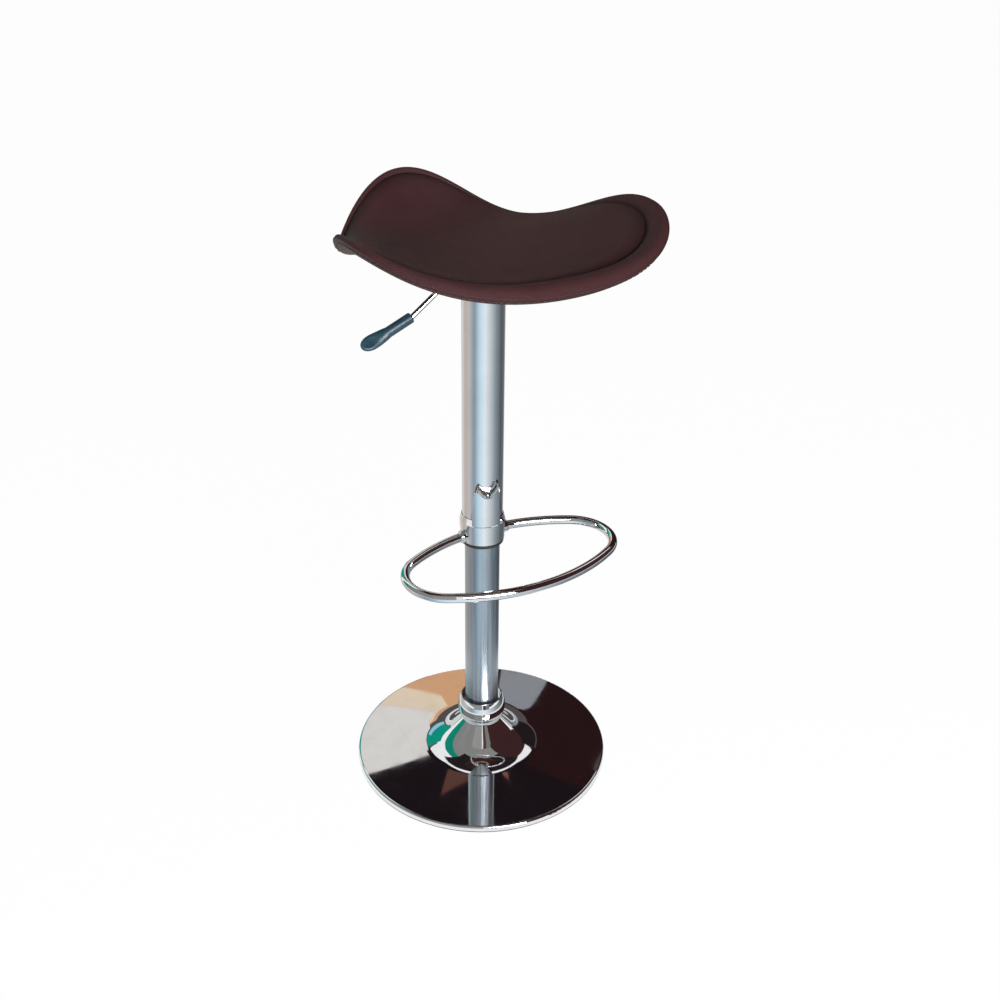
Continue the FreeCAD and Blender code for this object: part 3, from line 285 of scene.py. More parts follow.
def chrome_finish():
    """Plated metal with a faint wipe haze and a slight waviness."""
    f = Finish("chrome_plate")
    where = f.place()
    haze = f.noise(where, scale=26.0, detail=4.0, rough=0.6)
    specks = f.noise(where, scale=900.0, detail=2.0, rough=0.5)
    film = f.spread(haze, 0.45, 0.75)
    shade = f.blend(film, colours().chrome, tuple(c * 0.93 for c in colours().chrome))
    rough = 0.035 + film * 0.035 + f.spread(specks, 0.66, 0.8) * 0.05
    return f.surface(Base_Color=shade, Metallic=1.0, Roughness=rough,
                     Normal=f.bump(f.noise(where, scale=18.0, detail=1.0), 0.02, 0.002))


def satin_steel_finish():
    """Drawn tube: long fine streaks up its length."""
    f = Finish("satin_tube")
    streak = f.noise(f.place((1.0, 1.0, 0.012)), scale=420.0, detail=4.0, rough=0.65)
    band = f.noise(f.place((1.0, 1.0, 0.03)), scale=90.0, detail=2.0, rough=0.5)
    shade = f.blend(f.spread(streak * 0.6 + band * 0.4, 0.35, 0.65),
                    tuple(c * 0.72 for c in colours().satin_steel),
                    tuple(c * 1.25 for c in colours().satin_steel))
    return f.surface(Base_Color=shade, Metallic=1.0, Roughness=f.spread(streak, 0.3, 0.7, 0.26, 0.42),
                     Normal=f.bump(streak, strength=0.05, distance=0.0004))


def moulded_finish(name, low, high, gloss):
    """Moulded plastic or rubber with a spark-eroded texture."""
    f = Finish(name)
    where = f.place()
    texture = f.noise(where, scale=1500.0, detail=3.0, rough=0.6)
    cloud = f.noise(where, scale=60.0, detail=2.0, rough=0.5)
    shade = f.blend(f.spread(cloud * 0.7 + texture * 0.3, 0.35, 0.65), low, high)
    return f.surface(Base_Color=shade, Roughness=f.spread(texture, 0.3, 0.7, gloss - 0.05, gloss + 0.08),
                     Normal=f.bump(texture, strength=0.18, distance=0.0003))


def coated_finish(name, low, high):
    """Powder coat with orange peel."""
    f = Finish(name)
    where = f.place()
    peel = f.noise(where, scale=420.0, detail=2.0, rough=0.5)
    dust = f.noise(where, scale=45.0, detail=4.0, rough=0.6)
    shade = f.blend(f.spread(dust, 0.4, 0.75), low, high)
    return f.surface(Base_Color=shade, Roughness=f.spread(dust, 0.3, 0.7, 0.36, 0.5),
                     Normal=f.bump(peel, strength=0.15, distance=0.0004))


def metal_finish(name, tint, gloss, stretch):
    """Bare or zinc-plated metal with tool marks along one direction."""
    f = Finish(name)
    marks = f.noise(f.place(stretch), scale=500.0, detail=3.0, rough=0.6)
    stain = f.noise(f.place(), scale=70.0, detail=3.0, rough=0.55)
    shade = f.blend(f.spread(stain * 0.6 + marks * 0.4, 0.35, 0.65), tuple(c * 0.78 for c in tint), tint)
    return f.surface(Base_Color=shade, Metallic=1.0, Roughness=f.spread(marks, 0.3, 0.7, gloss, gloss + 0.14),
                     Normal=f.bump(marks, strength=0.06, distance=0.0003))


def cast_iron_finish():
    """Rough casting with some rust."""
    f = Finish("cast_iron")
    where = f.place()
    lumps = f.noise(where, scale=300.0, detail=5.0, rough=0.65)
    rust = f.noise(where, scale=22.0, detail=4.0, rough=0.6)
    shade = f.blend(f.spread(rust, 0.55, 0.72), (0.06, 0.06, 0.063), (0.10, 0.062, 0.042))
    return f.surface(Base_Color=shade, Metallic=0.6, Roughness=f.spread(lumps, 0.3, 0.7, 0.55, 0.75),
                     Normal=f.bump(lumps, strength=0.4, distance=0.0008))


def plywood_finish():
    """Plies seen on edge and a rotary-cut face."""
    f = Finish("plywood")
    figure = f.noise(f.place((1.0, 0.06, 1.0)), scale=90.0, detail=4.0, rough=0.6)
    ply = f.node("ShaderNodeTexWave", {"wave_type": "BANDS", "bands_direction": "Z"},
                 {"Vector": f.place(), "Scale": 190.0, "Distortion": 1.5, "Detail": 2.0}, output=1)
    shade = f.blend(f.spread(figure * 0.7 + ply * 0.3, 0.3, 0.7), (0.32, 0.2, 0.11), (0.52, 0.37, 0.22))
    return f.surface(Base_Color=shade, Roughness=f.spread(figure, 0.3, 0.7, 0.55, 0.7),
                     Normal=f.bump(figure, strength=0.2, distance=0.0003))


def dress(finish, *nodes):
    """Give CAD nodes a finish."""
    for name in nodes:
        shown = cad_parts[name]
        for slot in shown.material_slots:
            slot.link = "OBJECT"
            slot.material = finish


# Mesh helpers
WELD = 1e-6
FLAT = 1e-6
SPIN_RADIUS = 1.0


def piece(name, mesh, finish, body):
    """Turn a bmesh into a piece of the stool that moves with a body."""
    data = bpy.data.meshes.new(name)
    mesh.to_mesh(data)
    mesh.free()
    for face in data.polygons:
        face.use_smooth = True
    made = bpy.data.objects.new(name, data)
    bpy.context.scene.collection.objects.link(made)
    data.materials.append(finish)
    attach(made, body)
    return made


def soften(made, levels):
    """Subdivide a piece."""
    smooth = made.modifiers.new("soften", "SUBSURF")
    smooth.levels = smooth.render_levels = levels


def spun(profile, steps, closed):
    """Spin a profile of (radius, height) points about the column's axis."""
    mesh = bmesh.new()
    points = [mesh.verts.new((r, 0.0, z)) for r, z in profile]
    pairs = list(zip(points, points[1:])) + ([(points[-1], points[0])] if closed else [])
    edges = [mesh.edges.new(pair) for pair in pairs]
    bmesh.ops.spin(mesh, geom=points + edges, cent=(0, 0, 0), axis=(0, 0, 1), dvec=(0, 0, 0),
                   angle=math.tau, steps=steps, use_merge=True, use_duplicate=False)
    bmesh.ops.remove_doubles(mesh, verts=mesh.verts, dist=WELD)
    bmesh.ops.recalc_face_normals(mesh, faces=mesh.faces)
    return mesh


def around(values, angle):
    """Value by angle from the front: a cosine series through the front, wing, side, shoulder and back."""
    last = len(values) - 1

    def share(k):
        return 0.5 if k in (0, last) else 1.0

    total = 0.0
    for k in range(last + 1):
        wave = sum(share(j) * value * math.cos(k * j * math.pi / last) for j, value in enumerate(values))
        total += 2 / last * share(k) * wave * math.cos(k * angle)
    return total


def edge_reach(angle):
    """Reach of the seat's edge by angle from the front."""
    s = sizes()
    return around((s.front_reach, s.wing_reach, s.side_reach, s.shoulder_reach, s.back_reach), angle)


def section(y):
    """Height of the saddle's middle line, and the rise of its section to the ends."""
    s = sizes()
    if y < 0:
        middle = s.shell_top + s.front_climb * (y / s.front_reach) ** 2
    else:
        middle = s.shell_top + s.back_climb * (y / s.back_reach) ** s.back_curve
    fade = s.front_fade if y < s.wing_station else s.back_fade
    mean, swing = (s.wing_climb - s.back_fall) / 2, (s.wing_climb + s.back_fall) / 2
    climb = mean + swing * math.cos(math.pi * (y - s.wing_station) / fade)
    return middle, climb * (s.section_half / s.half_width) ** 2


def bow(rise, x):
    """Height at x of an arc that starts level in the middle and rises to the section's ends."""
    half = sizes().section_half
    if abs(rise) < FLAT:
        return 0.0
    radius = (half ** 2 + rise ** 2) / (2 * rise)
    return radius - math.copysign(math.sqrt(radius ** 2 - x ** 2), radius)


def saddle(x, y):
    """Height of the shell's top."""
    middle, rise = section(y)
    return middle + bow(rise, x)


def crown_lift(x, y):
    """Extra height of the crowned top panel over an even layer."""
    s = sizes()
    rise = section(y)[1]
    bulge = (s.pad_crown - s.pad_edge) * max(0.0, 1 - (y / s.crown_finish) ** 2)
    return bulge + bow(rise - bulge, x) - bow(rise, x)


def lay_on_seat(mesh, reach_of, lift_of, painted_seam_shade=None):
    """Move a spun mesh onto the saddle: its radius and height become a reach and a lift. Each vertex also gets a
    weight for the painted seam shade.
    """
    # Weight of the painted shade by the seams, read by the leatherette's colour
    seam = mesh.verts.layers.float.new("seam")
    for v in mesh.verts:
        u = math.hypot(v.co.x, v.co.y)
        angle = math.atan2(-v.co.x, -v.co.y)
        reach = reach_of(u, v.co.z, angle)
        x, y = -reach * math.sin(angle), -reach * math.cos(angle)
        v[seam] = painted_seam_shade(u, v.co.z, reach) if painted_seam_shade else 0.0
        v.co = (x, y, saddle(x, y) + lift_of(u, v.co.z, x, y))
    bmesh.ops.recalc_face_normals(mesh, faces=mesh.faces)


# Top panel: rings as shares of its reach, closer together towards the seam
PAD_RINGS = 26
PAD_EDGE_INSETS = (0.125, 0.1, 0.08, 0.06, 0.045, 0.033, 0.024, 0.016, 0.01, 0.005, 0.0)
PAD_UNDER_SHARES = (0.0, 0.5, 0.93, 0.985, 1.0)
PAD_UNDER_LIFT = 0.001
SEAM_ROLL_PARTS = ((0.45, 2), (0.55, 6))
# How fast the top panel's painted seam shade fades away from the seam
SEAM_SHADE_POWER = 1.5
UNDER, UPPER = 0.0, 1.0
SIDE_SPLIT = 0.5


def seat_pad_mesh():
    """Crowned top panel that rolls down into its seam all round."""
    s = sizes()
    top = [i / PAD_RINGS for i in range(PAD_RINGS) if i / PAD_RINGS < 1 - PAD_EDGE_INSETS[0]]
    edge = [1 - inset for inset in PAD_EDGE_INSETS]
    under = [(share, UNDER) for share in PAD_UNDER_SHARES]
    mesh = spun(under + [(share, UPPER) for share in edge[::-1] + top[::-1]], s.steps, False)

    def reach_of(u, upper, angle):
        return u * (edge_reach(angle) - around(s.border_widths, angle) + s.seam_lap)

    def lift_of(u, upper, x, y):
        if upper < SIDE_SPLIT:
            return PAD_UNDER_LIFT
        reach = math.hypot(x, y)
        inset = reach * (1 / u - 1) if u > 0 else 1.0
        full = s.pad_edge + crown_lift(x, y)
        roll = 1 - min(1.0, inset / s.seam_roll)
        return full - (full - s.seam_floor) * sum(share * roll ** power for share, power in SEAM_ROLL_PARTS)

    # Painted shade: weight that darkens the top panel as it rolls down into its seam
    def painted_seam_shade(u, upper, reach):
        if upper < SIDE_SPLIT or u <= 0:
            return 0.0
        return (1 - min(1.0, reach * (1 / u - 1) / s.seam_roll)) ** SEAM_SHADE_POWER

    lay_on_seat(mesh, reach_of, lift_of, painted_seam_shade)
    return mesh


# Border's section. Runs are from the seam and insets from the seat's edge, in metres. Shares are of the
# border's height on its two upper sides and of the rim's drop under the rim
BORDER_SEAM_SIDE = ((0.0012, 0.35), (0.0035, 0.62), (0.007, 0.84), (0.011, 0.96), (0.0155, 1.0))
BORDER_RIM_SIDE = ((0.0105, 0.94), (0.0070, 0.79), (0.0042, 0.55), (0.0021, 0.26))
BORDER_EDGE = ((0.0007, 0.0002), (0.0, -0.0014), (0.0006, -0.0028))
BORDER_WRAP = ((0.0022, 0.47), (0.0052, 0.72), (0.0092, 0.92), (0.0140, 1.0), (0.0200, 0.93))
WRAP_END_SHARE = 0.78
WRAP_END_LIFT = -0.0055
BORDER_LINING = ((0.0150, -0.0054), (0.0036, -0.0053), (0.0034, 0.0003), (0.0060, 0.0005))
# How far from the seam the border's painted shade reaches
BORDER_SHADE_RUN = 0.007


def border_profile():
    """Section of the padded border: inset from the seat's edge, and lift over the shell."""
    s = sizes()
    seam_side = [(s.border_width - run, share * s.border_top) for run, share in BORDER_SEAM_SIDE]
    rim_side = [(inset, share * s.border_top) for inset, share in BORDER_RIM_SIDE]
    wrap = [(inset, -share * s.rim_drop) for inset, share in (*BORDER_WRAP, (s.wrap_width, WRAP_END_SHARE))]
    return [(s.border_width, s.seam_floor), *seam_side, *rim_side, *BORDER_EDGE, *wrap,
            (s.wrap_width, WRAP_END_LIFT), *BORDER_LINING]


def seat_border_mesh():
    """Padded border, wider and higher at the front than at the back."""
    s = sizes()
    mesh = spun([(SPIN_RADIUS - inset, lift) for inset, lift in border_profile()], s.steps, True)

    def reach_of(u, lift, angle):
        wider = around(s.border_widths, angle) / s.border_width if lift > s.border_foot else 1.0
        return edge_reach(angle) - (SPIN_RADIUS - u) * wider

    def lift_of(u, lift, x, y):
        higher = around(s.border_tops, math.atan2(-x, -y)) / s.border_top if lift > s.border_lip else 1.0
        return lift * higher

    # Painted shade: weight that darkens the border's top next to its seam
    def painted_seam_shade(u, lift, reach):
        run = s.border_width - (SPIN_RADIUS - u)
        return max(0.0, 1 - run / BORDER_SHADE_RUN) ** 2 if lift > 0 else 0.0

    lay_on_seat(mesh, reach_of, lift_of, painted_seam_shade)
    return mesh


WELT_INSET = 0.0006
WELT_LIFT = -0.0014
WELT_SIDES = 10


def seat_welt_mesh():
    """Thin corded welt along the rim, under the border."""
    s = sizes()
    r = s.welt_radius
    ring = [(SPIN_RADIUS - WELT_INSET + r * math.cos(a), WELT_LIFT + r * math.sin(a))
            for a in (i * math.tau / WELT_SIDES for i in range(WELT_SIDES))]
    mesh = spun(ring, s.steps, True)
    lay_on_seat(mesh, lambda u, lift, angle: edge_reach(angle) - (SPIN_RADIUS - u), lambda u, lift, x, y: lift)
    return mesh


COVER_THICKNESS = 0.0013
COVER_LAP = 0.0003
COVER_RINGS = 24


def under_cover_mesh():
    """Cover under the shell, from the seat plate's opening to the border."""
    s = sizes()
    lower = s.under_skin + COVER_THICKNESS
    run = [i / COVER_RINGS for i in range(COVER_RINGS + 1)]
    profile = [(1 + share, -s.under_skin) for share in run] + [(1 + share, -lower) for share in run[::-1]]
    mesh = spun(profile, s.steps, True)

    def reach_of(u, lift, angle):
        return s.cutout + (u - 1) * (edge_reach(angle) - s.wrap_width + COVER_LAP - s.cutout)

    lay_on_seat(mesh, reach_of, lambda u, lift, x, y: lift)
    return mesh


def on_rim(angle, inset, lift):
    """Point of the saddle, in from the seat's edge and over the shell."""
    reach = edge_reach(angle) - inset
    x, y = -reach * math.sin(angle), -reach * math.cos(angle)
    return Vector((x, y, saddle(x, y) + lift))


RIM_STEPS = 720
STITCH_INSET = 0.0036
STITCH_LIFT = -0.0056
STITCH_SIDES = 6
STITCH_END_INSET = 0.4
STITCH_END_RISE = 0.5


def stitches_mesh():
    """Short thread stitches in a row along the rim, under the welt."""
    s = sizes()
    mesh = bmesh.new()
    rim = [on_rim(i * math.tau / RIM_STEPS, STITCH_INSET, STITCH_LIFT) for i in range(RIM_STEPS + 1)]
    run = 0.0
    following = s.stitch_pitch
    for before, after in zip(rim, rim[1:]):
        run += (after - before).length
        if run < following:
            continue
        following += s.stitch_pitch
        along = (after - before).normalized()
        lie = along.to_track_quat("Z", "Y").to_matrix().to_4x4()
        made = bmesh.ops.create_cone(mesh, cap_ends=True, segments=STITCH_SIDES, radius1=s.stitch_radius,
                                     radius2=s.stitch_radius, depth=s.stitch_length,
                                     matrix=Matrix.Translation(after) @ lie)
        caps = [f for v in made["verts"] for f in v.link_faces if len(f.verts) == STITCH_SIDES]
        bmesh.ops.inset_region(mesh, faces=list(set(caps)), thickness=s.stitch_radius * STITCH_END_INSET,
                               depth=s.stitch_radius * STITCH_END_RISE)
    return mesh


HANDLE_SLOPE = math.radians(24.0)
HANDLE_MOUTH = 0.003
HANDLE_WELD = 1e-5
HANDLE_VOXEL = 0.0008
HANDLE_SMOOTHING = 0.5
HANDLE_ROUNDS = 8


def handle_mesh():
    """The lever's handle, rolled about its length so that its dish faces the sitter's front."""
    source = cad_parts["lever_handle"]
    mesh = bmesh.new()
    mesh.from_mesh(source.data)
    bmesh.ops.transform(mesh, matrix=source.matrix_world, verts=mesh.verts)
    bmesh.ops.remove_doubles(mesh, verts=mesh.verts, dist=HANDLE_WELD)
    along = Vector((-math.cos(HANDLE_SLOPE), 0.0, -math.sin(HANDLE_SLOPE)))
    first = min(v.co.dot(along) for v in mesh.verts)
    mouth = [v.co for v in mesh.verts if v.co.dot(along) < first + HANDLE_MOUTH]
    centre = sum(mouth, Vector()) / len(mouth)
    bmesh.ops.rotate(mesh, cent=centre, matrix=Matrix.Rotation(-math.pi / 2, 3, along), verts=mesh.verts)
    return mesh


# Operators
class STOOL_OT_seat_pad(bpy.types.Operator):
    """Crowned top panel of the seat"""
    bl_idname = "stool.seat_pad"
    bl_label = "Seat pad"

    def execute(self, context):
        made = piece("seat_cushion", seat_pad_mesh(), leatherette_finish(), "seat")
        soften(made, 1)
        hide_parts("seat_pad")
        return {"FINISHED"}


class STOOL_OT_seat_border(bpy.types.Operator):
    """Padded border, its welt and its stitches"""
    bl_idname = "stool.seat_border"
    bl_label = "Seat border"

    def execute(self, context):
        made = piece("seat_border_roll", seat_border_mesh(), leatherette_finish(), "seat")
        soften(made, 1)
        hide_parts("seat_border")
        piece("seat_welt", seat_welt_mesh(), leatherette_finish(), "seat")
        piece("seat_stitches", stitches_mesh(), thread_finish(), "seat")
        return {"FINISHED"}


class STOOL_OT_under_cover(bpy.types.Operator):
    """Cover under the seat"""
    bl_idname = "stool.under_cover"
    bl_label = "Under cover"

    def execute(self, context):
        made = piece("seat_under_cover", under_cover_mesh(), leatherette_finish(), "seat")
        soften(made, 1)
        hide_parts("under_cover")
        dress(plywood_finish(), "seat_shell")
        return {"FINISHED"}


class STOOL_OT_chrome(bpy.types.Operator):
    """Plated base, column, footrest and lever"""
    bl_idname = "stool.chrome"
    bl_label = "Chrome pieces"

    def execute(self, context):
        dress(chrome_finish(), "base_cover", "neck_ring", "upper_tube", "footrest_collar", "footrest_ring",
              "lever_rod", "piston_rod")
        dress(satin_steel_finish(), "lower_tube")
        return {"FINISHED"}


class STOOL_OT_plastics(bpy.types.Operator):
    """Handle, bushes, rubber ring and seals"""
    bl_idname = "stool.plastics"
    bl_label = "Plastic and rubber"

    def execute(self, context):
        c = colours()
        blue_black = moulded_finish("handle_plastic", tuple(c.handle), tuple(v * 1.8 for v in c.handle), 0.34)
        black = moulded_finish("black_plastic", tuple(c.black), tuple(v * 1.7 for v in c.black), 0.42)
        rubber = moulded_finish("rubber", tuple(c.black), tuple(v * 2.0 for v in c.black), 0.62)
        nylon = moulded_finish("nylon", (0.66, 0.65, 0.60), (0.76, 0.75, 0.70), 0.45)
        made = piece("lever_grip", handle_mesh(), blue_black, "lever")
        even = made.modifiers.new("even", "REMESH")
        even.mode, even.voxel_size = "VOXEL", HANDLE_VOXEL
        smooth = made.modifiers.new("smooth", "SMOOTH")
        smooth.factor, smooth.iterations = HANDLE_SMOOTHING, HANDLE_ROUNDS
        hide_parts("lever_handle")
        dress(black, "tube_bush")
        dress(rubber, "floor_ring", "piston_seal")
        dress(nylon, "guide_bush", "bearing_cage")
        return {"FINISHED"}


class STOOL_OT_works(bpy.types.Operator):
    """Coated, plated and bare metal of the works under the seat and in the base"""
    bl_idname = "stool.works"
    bl_label = "Works"

    def execute(self, context):
        coat = coated_finish("powder_coat", (0.014, 0.014, 0.015), (0.03, 0.03, 0.031))
        zinc = metal_finish("zinc_plate", (0.6, 0.61, 0.62), 0.26, (1.0, 1.0, 0.2))
        bare = metal_finish("bare_steel", (0.36, 0.36, 0.37), 0.32, (1.0, 0.1, 1.0))
        ground = metal_finish("ground_steel", (0.52, 0.52, 0.54), 0.14, (1.0, 1.0, 0.3))
        alloy = metal_finish("turned_alloy", (0.62, 0.62, 0.63), 0.3, (0.1, 0.1, 1.0))
        dress(coat, "gas_cylinder", "seat_plate", "taper_socket", "lever_bracket")
        dress(zinc, "base_bolts", "base_nuts", "rod_washer", "rod_clip", "collar_screws", "lever_pin",
              "plate_bolts", "plate_washers", "tee_nuts", "release_pin")
        dress(bare, "tube_flange", "tube_cap")
        dress(ground, "bearing_lower_race", "bearing_upper_race", "bearing_balls")
        dress(alloy, "piston", "cylinder_gland")
        dress(cast_iron_finish(), "base_weight")
        return {"FINISHED"}


# Stage
def lamp(name, place, target, width, height, power):
    """Rectangular lamp turned to a target."""
    data = bpy.data.lights.new(name, "AREA")
    data.shape, data.size, data.size_y, data.energy = "RECTANGLE", width, height, power
    made = bpy.data.objects.new(name, data)
    bpy.context.scene.collection.objects.link(made)
    made.location = place
    made.rotation_euler = (Vector(target) - Vector(place)).to_track_quat("-Z", "Y").to_euler()
    return made


def mirrored_only(name, mesh, shade):
    """Coloured board of the set that only mirrors see."""
    data = bpy.data.meshes.new(name)
    mesh.to_mesh(data)
    mesh.free()
    f = Finish(name)
    data.materials.append(f.end(f.node("ShaderNodeEmission", {}, {"Color": (*shade, 1.0), "Strength": 1.0})))
    made = bpy.data.objects.new(name, data)
    bpy.context.scene.collection.objects.link(made)
    made.visible_camera = made.visible_diffuse = made.visible_shadow = False
    made.visible_transmission = made.visible_volume_scatter = False


def sheet(name, width, tall, placed, shade):
    """Flat sheet that only mirrors see, placed as the camera sees it."""
    mesh = bmesh.new()
    bmesh.ops.create_grid(mesh, x_segments=1, y_segments=1, size=0.5)
    bmesh.ops.scale(mesh, vec=(width, tall, 1.0), verts=mesh.verts)
    turned = Matrix.Rotation(bpy.context.scene.stool_stage.camera_turn, 4, "Z")
    bmesh.ops.transform(mesh, matrix=turned @ placed, verts=mesh.verts)
    mirrored_only(name, mesh, shade)


def board(name, behind, across, height, width, tall, shade, way=0.0):
    """Upright board behind the stool, across to the right, and up."""
    placed = (Matrix.Translation((across, behind, height)) @ Matrix.Rotation(math.radians(way), 4, "Z")
              @ Matrix.Rotation(math.pi / 2, 4, "X"))
    sheet(name, width, tall, placed, shade)


def ceiling(name, behind, deep, height, shade):
    """Level board over the set."""
    sheet(name, CEILING_WIDTH, deep, Matrix.Translation((0.0, behind, height)), shade)


# What the base mirrors: name, behind, across, up, width, height, colour and turn in degrees
BOARDS = (
    ("board_far", 4.0, 0.0, 2.1, 7.0, 4.2, (0.10, 0.085, 0.085)),
    ("board_cream", 2.0, -0.44, 1.62, 0.72, 0.9, (0.80, 0.77, 0.73)),
    ("board_maroon", 2.0, 0.42, 1.55, 0.72, 1.5, (0.024, 0.009, 0.010)),
    ("board_clay", 1.98, -0.30, 0.98, 0.75, 0.42, (0.72, 0.40, 0.22)),
    ("board_straw", 1.97, -0.42, 1.10, 0.34, 0.16, (0.85, 0.70, 0.52)),
    ("board_slate", 1.97, 0.22, 1.0, 0.24, 0.26, (0.28, 0.29, 0.31)),
    ("board_brown", 2.02, -0.16, 2.45, 0.42, 0.6, (0.115, 0.05, 0.04)),
    ("board_rust", 2.01, -0.13, 2.5, 0.2, 0.22, (0.30, 0.13, 0.09)),
    ("board_edge", 2.01, 0.27, 2.3, 0.05, 0.7, (0.26, 0.11, 0.08)),
    ("board_black", 2.04, 0.0, 2.7, 1.9, 1.3, (0.012, 0.008, 0.010)),
    ("board_teal", 1.6, -1.25, 0.85, 1.1, 1.5, (0.006, 0.33, 0.235)),
    ("board_sky", 1.58, -0.80, 0.62, 0.16, 1.0, (0.35, 0.62, 0.80)),
    ("board_leaf", 0.75, -1.9, 2.2, 0.8, 3.6, (0.006, 0.27, 0.18), 90),
    ("board_grey", -1.15, -1.9, 2.2, 3.0, 3.6, (0.26, 0.26, 0.25), 90),
    ("board_dusk", 1.6, 1.25, 0.95, 1.1, 1.7, (0.018, 0.012, 0.014)),
    ("board_wine", -0.3, 1.9, 2.2, 4.6, 3.6, (0.05, 0.02, 0.02), 90),
    ("board_front", -2.6, -0.9, 2.0, 2.0, 4.0, (0.34, 0.34, 0.32)),
    ("board_post", -2.6, 0.22, 2.0, 0.24, 4.0, (0.9, 0.9, 0.9)),
    ("board_door", -2.6, 0.62, 2.0, 0.56, 4.0, (0.09, 0.045, 0.04)),
    ("board_wall", -2.6, 1.4, 2.0, 1.0, 4.0, (0.22, 0.21, 0.20)),
)
CEILING_HEIGHT = 4.0
CEILING_WIDTH = 3.8
SLATS = 6
FIRST_SLAT = -0.85
SLAT_PITCH = 0.32
SLAT_DEPTH = 0.28

# What the column mirrors, by degrees round from the camera: negative is to the camera's left
MAT_COLOURS = ((-180, (0.80, 0.80, 0.80)), (-130, (0.74, 0.70, 0.66)), (-108, (0.62, 0.50, 0.42)),
               (-77, (0.58, 0.59, 0.60)), (-45, (0.30, 0.34, 0.39)), (-16, (0.62, 0.86, 1.0)),
               (11, (0.92, 0.98, 1.0)), (39, (0.62, 0.68, 0.71)), (70, (0.28, 0.33, 0.36)),
               (108, (0.11, 0.12, 0.13)), (140, (0.16, 0.17, 0.18)), (180, (0.80, 0.80, 0.80)))
MAT_SECTORS = 48
MAT_REACHES = (0.26, 4.0)
MAT_LIFT = 0.003


def mat_shade(angle):
    """Colour of the mat at an angle, between its named colours."""
    for (a, first), (b, second) in zip(MAT_COLOURS, MAT_COLOURS[1:]):
        if a <= angle <= b:
            share = (angle - a) / (b - a)
            return tuple(p + (q - p) * share for p, q in zip(first, second))
    raise ValueError("no mat colour at %s degrees" % angle)


def mat_sector(start, width):
    """Sector of the mat on the floor round the stool."""
    mesh = bmesh.new()
    ends = [mesh.verts.new((0.0, -reach, MAT_LIFT)) for reach in MAT_REACHES]
    edge = mesh.edges.new(ends)
    bmesh.ops.spin(mesh, geom=ends + [edge], cent=(0, 0, 0), axis=(0, 0, 1), dvec=(0, 0, 0),
                   angle=math.radians(width), steps=2, use_duplicate=False)
    way = math.radians(start) + bpy.context.scene.stool_stage.camera_turn
    bmesh.ops.rotate(mesh, matrix=Matrix.Rotation(way, 3, "Z"), verts=mesh.verts)
    mirrored_only("mat", mesh, mat_shade(start + width / 2))


FLOOR_HALF = 20.0
FLOOR_GREY = 0.86
FLOOR_GLOW = 0.97
WHITE = (1.0, 1.0, 1.0, 1.0)
ROOM_TINT = (0.97, 0.98, 1.0, 1.0)
BOUNCE_TINT = (1.0, 0.70, 0.62)
SEAT_MIDDLE = (0.0, 0.0, 0.7)
LEFT_WING = (-0.15, -0.05, 0.8)


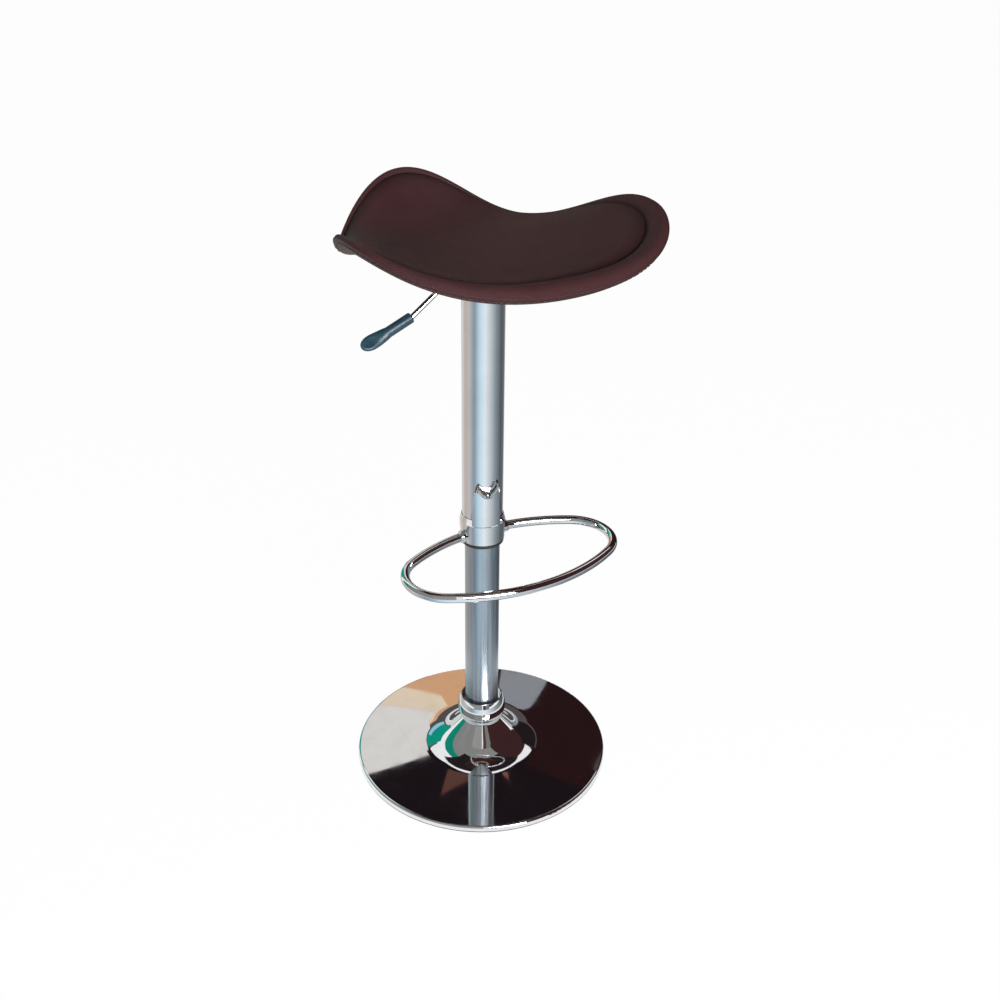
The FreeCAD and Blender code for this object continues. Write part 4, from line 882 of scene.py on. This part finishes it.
class STOOL_OT_stage(bpy.types.Operator):
    """Floor, light, boards and camera"""
    bl_idname = "stool.stage"
    bl_label = "Stage"

    def execute(self, context):
        scene = context.scene
        scene.view_settings.view_transform = "Standard"
        self.floor()
        self.light(scene)
        self.boards()
        self.camera(scene)
        return {"FINISHED"}

    def floor(self):
        mesh = bmesh.new()
        bmesh.ops.create_grid(mesh, x_segments=1, y_segments=1, size=FLOOR_HALF)
        data = bpy.data.meshes.new("floor")
        mesh.to_mesh(data)
        mesh.free()
        f = Finish("white_floor")
        path = self.seen(f)
        matt = f.node("ShaderNodeBsdfDiffuse", {}, {"Color": (FLOOR_GREY, FLOOR_GREY, FLOOR_GREY, 1.0)})
        glow = f.node("ShaderNodeEmission", {}, {"Color": WHITE, "Strength": 1.0})
        data.materials.append(f.end(f.node("ShaderNodeMixShader", {}, {0: path * FLOOR_GLOW, 1: matt, 2: glow})))
        made = bpy.data.objects.new("floor", data)
        bpy.context.scene.collection.objects.link(made)

    def seen(self, f):
        """One for rays from the camera, from mirrors and through glass."""
        rays = [f.node("ShaderNodeLightPath", output=word)
                for word in ("Is Camera Ray", "Is Glossy Ray", "Is Transmission Ray")]
        return f.node("ShaderNodeMath", {"operation": "ADD", "use_clamp": True},
                      {0: rays[0] + rays[1], 1: rays[2]})

    def light(self, scene):
        s = scene.stool_stage
        world = bpy.data.worlds.new("studio")
        scene.world = world
        world.use_nodes = True
        f = Nodes(world.node_tree)
        even = f.node("ShaderNodeBackground", {}, {"Color": ROOM_TINT, "Strength": s.room_light})
        white = f.node("ShaderNodeBackground", {}, {"Color": WHITE, "Strength": 1.0})
        mixed = f.node("ShaderNodeMixShader", {}, {0: self.seen(f), 1: even, 2: white})
        out = f.tree.nodes.new("ShaderNodeOutputWorld")
        f.tree.links.new(mixed.socket, out.inputs["Surface"])
        lamp("key", (-0.3, -2.6, 1.5), SEAT_MIDDLE, 1.4, 1.0, s.key_power)
        lamp("fill", (-2.4, 0.6, 1.7), SEAT_MIDDLE, 0.5, 1.4, s.fill_power)
        bounce = lamp("bounce", (-1.1, -0.7, 0.12), LEFT_WING, 0.8, 0.8, s.bounce_power)
        bounce.data.color = BOUNCE_TINT
        bounce.visible_glossy = False

    def boards(self):
        """Boards behind the set for the base, and a mat of coloured sectors for the column."""
        for row in BOARDS:
            board(*row)
        ceiling("board_ceiling", 0.7, 2.8, CEILING_HEIGHT, (0.02, 0.014, 0.016))
        for i in range(SLATS):
            ceiling("board_slats", FIRST_SLAT - SLAT_PITCH * i, SLAT_DEPTH, CEILING_HEIGHT, (0.30, 0.30, 0.28))
        ceiling("board_gaps", -1.65, 2.0, CEILING_HEIGHT + 0.02, (0.06, 0.06, 0.06))
        width = 360 / MAT_SECTORS
        for i in range(MAT_SECTORS):
            mat_sector(i * width - 180, width)

    def camera(self, scene):
        s = scene.stool_stage
        pitch, yaw, roll = s.camera_pitch, s.camera_yaw, s.camera_roll
        ahead = Vector((math.sin(yaw) * math.cos(pitch), math.cos(yaw) * math.cos(pitch), -math.sin(pitch)))
        right = Vector((math.cos(yaw), -math.sin(yaw), 0.0))
        up = right.cross(ahead)
        leaned_right = right * math.cos(roll) + up * math.sin(roll)
        leaned_up = up * math.cos(roll) - right * math.sin(roll)
        pose = Matrix((leaned_right, leaned_up, -ahead)).transposed().to_4x4()
        pose.translation = (0.0, -s.camera_distance, s.camera_height)
        data = bpy.data.cameras.new("camera")
        data.lens = s.camera_lens
        made = bpy.data.objects.new("camera", data)
        scene.collection.objects.link(made)
        made.matrix_world = Matrix.Rotation(s.camera_turn, 4, "Z") @ pose
        scene.camera = made


class STOOL_PT_panel(bpy.types.Panel):
    """Pieces of the stool"""
    bl_idname = "STOOL_PT_panel"
    bl_label = "Saddle bar stool"
    bl_space_type = "VIEW_3D"
    bl_region_type = "UI"
    bl_category = "Stool"

    def draw(self, context):
        for operator in OPERATORS:
            self.layout.operator(operator.bl_idname)
        for group in (context.scene.stool_seat, context.scene.stool_colours, context.scene.stool_stage):
            box = self.layout.box()
            for name in group.__annotations__:
                box.prop(group, name)


OPERATORS = (STOOL_OT_seat_pad, STOOL_OT_seat_border, STOOL_OT_under_cover, STOOL_OT_chrome,
             STOOL_OT_plastics, STOOL_OT_works, STOOL_OT_stage)
CLASSES = (SeatSizes, FinishColours, StageSettings, *OPERATORS, STOOL_PT_panel)


def register():
    for cls in CLASSES:
        bpy.utils.register_class(cls)
    bpy.types.Scene.stool_seat = PointerProperty(type=SeatSizes)
    bpy.types.Scene.stool_colours = PointerProperty(type=FinishColours)
    bpy.types.Scene.stool_stage = PointerProperty(type=StageSettings)


def unregister():
    del bpy.types.Scene.stool_stage
    del bpy.types.Scene.stool_colours
    del bpy.types.Scene.stool_seat
    for cls in reversed(CLASSES):
        bpy.utils.unregister_class(cls)


def main():
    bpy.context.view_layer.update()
    register()
    bpy.ops.stool.seat_pad()
    bpy.ops.stool.seat_border()
    bpy.ops.stool.under_cover()
    bpy.ops.stool.chrome()
    bpy.ops.stool.plastics()
    bpy.ops.stool.works()
    bpy.ops.stool.stage()


if __name__ == "__main__":
    main()
